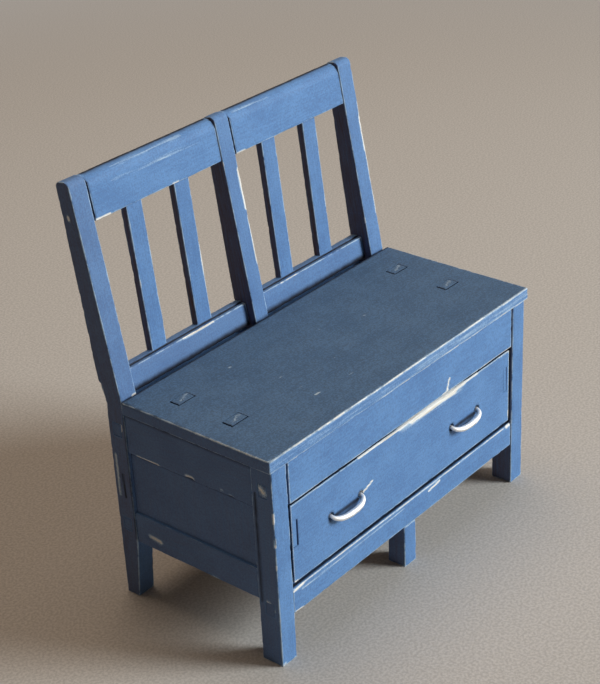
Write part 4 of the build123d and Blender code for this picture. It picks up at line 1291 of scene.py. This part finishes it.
drawerFront = boxBoard((drawerEnd, boardFront, drawerLow[2]), (drawerHigh[0], drawerHigh[1], drawerTop), 0,
                       drawerValues, next(seeds), drawerMarks["chips"])
cutShell(drawerFront, cutters)
placePiece("drawerFront", [drawerFront], [paint], "drawer_front", drawerMarks)
for side in sides:
    low, high = nodeBox(f"drawer_side_{side}")
    seed = next(seeds)
    body = boxBoard((low[0], drawerHigh[1] + boxShape["sideStep"], low[2]), high, 1, boardValues, seed)
    tenon = boxBoard(*tenons[side], 1, dict(tenonEndValues, arris=0.05), seed, slot=1)
    placePiece(f"drawerSide{side.title()}", [body, tenon], [pine, paint], f"drawer_side_{side}")
bareBoard = functools.partial(plainBoard, coat=pine, slot="bare_wood")
bareBoard("drawerBack", "drawer_back", 0, boardValues)
bareBoard("drawerBottom", "drawer_bottom", 0, dict(boardValues, arris=0.08))
for side in sides:
    bareBoard(f"runner{side.title()}", f"runner_{side}", 1, boardValues)
    bareBoard(f"guide{side.title()}", f"guide_{side}", 1, boardValues)
print("pull-out box built")


# Handles: one wire each, bowed out in front of the board, with its ends bent over behind it. The bow is
# a superellipse, x = a cos(t)^m and y = -b sin(t)^n, and the wire's radius swells towards its middle.
handleShape = {
    "bow": 1.48,  # middle line in front of the board, at its middle
    "squareness": (0.8, 0.85),  # the powers m and n
    "midRadius": 0.56,
    "endRadius": 0.36,
    "clinch": 1.3,  # bent-over end behind the board
    "clinchBend": 0.6,
    "behind": 0.58,  # its middle line behind the board
    "steps": (60, 9),  # along half the bow, and along a bend
    "straight": (0.6, 0.3),  # places inside the board that keep the wire straight
    "rings": 150,
    "around": 20,
    "dent": 0.03,
    "dentLength": 1.6,
    "tipRound": 0.12,
    "droop": (0.75, 1.2),  # how far the bow hangs below its ends, and the power by which it does
    "swell": 1.3,  # the power by which its wire thickens
}


# Middle line of a handle's wire, seen from above, and how far along it each place lies
def handlePath(values):
    half, back = handleSpread / 2, drawerHigh[1] + values["behind"]
    bowSteps, bendSteps = values["steps"]
    t = np.linspace(0.02, np.pi / 2, bowSteps)
    m, n = values["squareness"]
    bow = np.stack([half * np.cos(t) ** m, boardFront - values["bow"] * np.sin(t) ** n], axis=1)
    bend = values["clinchBend"]
    turn = np.linspace(0, np.pi / 2, bendSteps)
    clinch = np.stack([half - bend + bend * np.cos(turn), back - bend + bend * np.sin(turn)], axis=1)[::-1]
    ends = [[half - values["clinch"], back]]
    straight = [[half, boardFront + inside] for inside in values["straight"]]
    right = np.concatenate([ends, clinch, straight, bow])
    path = np.concatenate([right, (right * (-1, 1))[-2::-1]])
    marks = np.concatenate([[0], np.cumsum(np.linalg.norm(np.diff(path, axis=0), axis=1))])
    even = np.linspace(0, marks[-1], values["rings"])
    smoothed = np.stack([np.interp(even, marks, path[:, k]) for k in (0, 1)], axis=1)
    smoothed[1:-1] = (smoothed[:-2] + 2 * smoothed[1:-1] + smoothed[2:]) / 4
    return smoothed, even


# The wire: point = path(s) + normal r(s) cos(a), height - droop f(s)^p + r(s) sin(a), where f goes from
# 0 at the board to 1 at the middle of the bow
def handleShell(centreX, values, seed):
    path, along = handlePath(values)
    tangent = np.gradient(path, axis=0)
    tangent /= np.linalg.norm(tangent, axis=1)[:, None]
    normal = np.stack([-tangent[:, 1], tangent[:, 0]], axis=1)
    reach = np.clip((boardFront - path[:, 1]) / values["bow"], 0, 1)
    radius = values["endRadius"] + (values["midRadius"] - values["endRadius"]) * reach ** values["swell"]
    fromEnd = np.minimum(along, along[-1] - along)
    intoTip = np.clip(1 - fromEnd / values["tipRound"], 0, 1)
    radius = radius * np.sqrt(np.clip(1 - intoTip ** 2, 0.05, 1))
    turn = np.linspace(0, 2 * np.pi, values["around"], endpoint=False)
    flat = path[:, None] + normal[:, None] * (radius[:, None] * np.cos(turn))[..., None]
    droop, power = values["droop"]
    height = handleHeight - droop * reach[:, None] ** power + radius[:, None] * np.sin(turn)
    grid = np.concatenate([flat + (centreX, 0), height[..., None]], axis=2)
    dents = values["dent"] * (0.5 + 0.5 * sineField(grid, values["dentLength"], seed))
    grid = grid - gridNormals(grid) * dents[..., None]

    def describe(points):
        angle = np.arctan2(points[:, 2] - handleHeight, points[:, 1] - boardFront)
        place = np.stack([points[:, 0] * 1.2, angle * values["midRadius"], points[:, 1]], axis=1)
        return place + seed * 11.0, np.full(len(points), 9.0)  # a wire has no arris near

    return gridShell(grid, describe)


for side in sides:
    handle = handleShell(handleCentres[side][0], handleShape, next(seeds))
    placePiece(f"handle{side.title()}", [handle], [wire], f"handle_{side}")
print("handles built")


# Floor, light and camera

studioValues = {
    "floorHalf": 1500,
    "floorColour": (0.530, 0.500, 0.468),
    "floorShade": (0.415, 0.390, 0.365),
    "floorGrain": 2100.0,
    "floorBump": 0.12,
    "floorRelief": 0.0003,  # depth of its fibres, in metres
    "floorRoughness": 0.9,
    "floorFade": (0.25, 0.55),  # from here to here it passes into the backdrop, in metres
    "keyPlace": (0.63, -0.90, 0.51),
    "keyAim": (0.0, 0.0, 0.035),
    "keySize": 0.5,
    "keySpread": 75,  # degrees
    "keyPower": 3.2,
    "keyColour": (0.93, 0.985, 1.0),
    "fillPlace": (0.08, 0.16, 0.7),
    "fillSize": 0.5,
    "fillPower": 1.9,
    "fillColour": (1.0, 0.79, 0.60),
    "skyColour": (1.0, 0.80, 0.64, 1),
    "skyStrength": 0.075,
    "backdropColour": (0.42, 0.40, 0.38, 1),
}


# 1 where the camera or a reflection looks, 0 where light is gathered
def raysSeen(tree):
    rays = addNode(tree, "ShaderNodeLightPath").outputs
    seen = larger(tree, rays["Is Camera Ray"], rays["Is Glossy Ray"])
    return larger(tree, seen, rays["Is Transmission Ray"])


half = studioValues["floorHalf"]
floorCorners = half * np.array([(-1.0, -1.0, 0), (1, -1, 0), (1, 1, 0), (-1, 1, 0)])
floor = bpy.data.objects.new("floor", rawMesh("floor", floorCorners, [(0, 1, 2, 3)]))
bpy.context.scene.collection.objects.link(floor)
floorPaper, floorTree, floorShader = newMaterial("floorPaper")
place = addNode(floorTree, "ShaderNodeTexCoord").outputs["Object"]
fibres = noise(floorTree, place, studioValues["floorGrain"], 4.0)
floorTone = mixColour(floorTree, smooth(floorTree, fibres, 0.35, 0.65), studioValues["floorColour"],
                      studioValues["floorShade"])
finishWith(floorTree, floorShader, floorTone, None, fibres, studioValues["floorBump"],
           studioValues["floorRelief"])
floorShader.inputs["Roughness"].default_value = studioValues["floorRoughness"]
distance = addNode(floorTree, "ShaderNodeVectorMath", {0: place}, operation="LENGTH").outputs["Value"]
far = smooth(floorTree, distance, *studioValues["floorFade"])
far = times(floorTree, far, raysSeen(floorTree))
glow = addNode(floorTree, "ShaderNodeEmission", {"Color": studioValues["backdropColour"]})
fade = addNode(floorTree, "ShaderNodeMixShader", {0: far, 1: floorShader.outputs[0], 2: glow.outputs[0]})
floorTree.links.new(fade.outputs[0], floorTree.nodes["Material Output"].inputs["Surface"])
floor.data.materials.append(floorPaper)


# Where a lamp stands, turned so that it shines on a place
def aimed(place, aim):
    direction = np.array(aim, float) - np.array(place, float)
    direction /= np.linalg.norm(direction)
    right = np.cross(direction, (0, 0, 1))
    right /= np.linalg.norm(right)
    up = np.cross(right, direction)
    matrix = Matrix(np.stack([right, up, -direction], axis=1).tolist()).to_4x4()
    matrix.translation = place
    return matrix


def areaLight(name, place, aim, size, power, colour, spread=180):
    light = bpy.data.lights.new(name, "AREA")
    light.spread = np.radians(spread)
    light.shape = "DISK"
    light.size = size
    light.energy = power
    light.color = colour
    lamp = bpy.data.objects.new(name, light)
    lamp.matrix_world = aimed(place, aim)
    bpy.context.scene.collection.objects.link(lamp)
    return lamp


areaLight("windowLight", studioValues["keyPlace"], studioValues["keyAim"], studioValues["keySize"],
          studioValues["keyPower"], studioValues["keyColour"], studioValues["keySpread"])
areaLight("ceilingLight", studioValues["fillPlace"], studioValues["keyAim"], studioValues["fillSize"],
          studioValues["fillPower"], studioValues["fillColour"])

# The world lights the bench dimly, and shows a pale backdrop to the camera and in reflections
world = bpy.data.worlds.new("studio")
world.use_nodes = True
worldTree = world.node_tree
sky = worldTree.nodes["Background"]
sky.inputs["Color"].default_value = studioValues["skyColour"]
sky.inputs["Strength"].default_value = studioValues["skyStrength"]
backdrop = addNode(worldTree, "ShaderNodeBackground", {"Color": studioValues["backdropColour"]})
seen = raysSeen(worldTree)
mixed = addNode(worldTree, "ShaderNodeMixShader", {0: seen, 1: sky.outputs[0], 2: backdrop.outputs[0]})
worldTree.links.new(mixed.outputs[0], worldTree.nodes["World Output"].inputs["Surface"])
bpy.context.scene.world = world

cameraValues = {
    "place": (-0.19516, -0.16538, 0.17544),
    "turn": 49.236,  # degrees from +Y towards +X
    "tilt": -28.062,
    "roll": -2.978,
    "focalPixels": 1650.71,
    "imageWidth": 600,
    "middlePixel": 302.9,
}


def makeCamera(values):
    turn, tilt, roll = (np.radians(values[key]) for key in ("turn", "tilt", "roll"))
    forward = np.array([np.sin(turn) * np.cos(tilt), np.cos(turn) * np.cos(tilt), np.sin(tilt)])
    level = np.array([np.cos(turn), -np.sin(turn), 0])
    upright = np.cross(level, forward)
    right = np.cos(roll) * level + np.sin(roll) * upright
    up = np.cos(roll) * upright - np.sin(roll) * level
    camera = bpy.data.cameras.new("camera")
    camera.sensor_fit = "HORIZONTAL"
    camera.sensor_width = 36
    camera.lens = values["focalPixels"] * camera.sensor_width / values["imageWidth"]
    camera.shift_x = (values["imageWidth"] / 2 - values["middlePixel"]) / values["imageWidth"]
    camera.clip_start = 0.005
    viewer = bpy.data.objects.new("camera", camera)
    matrix = Matrix(np.stack([right, up, -forward], axis=1).tolist()).to_4x4()
    matrix.translation = values["place"]
    viewer.matrix_world = matrix
    bpy.context.scene.collection.objects.link(viewer)
    bpy.context.scene.camera = viewer


makeCamera(cameraValues)
bpy.context.scene.view_settings.view_transform = "Standard"
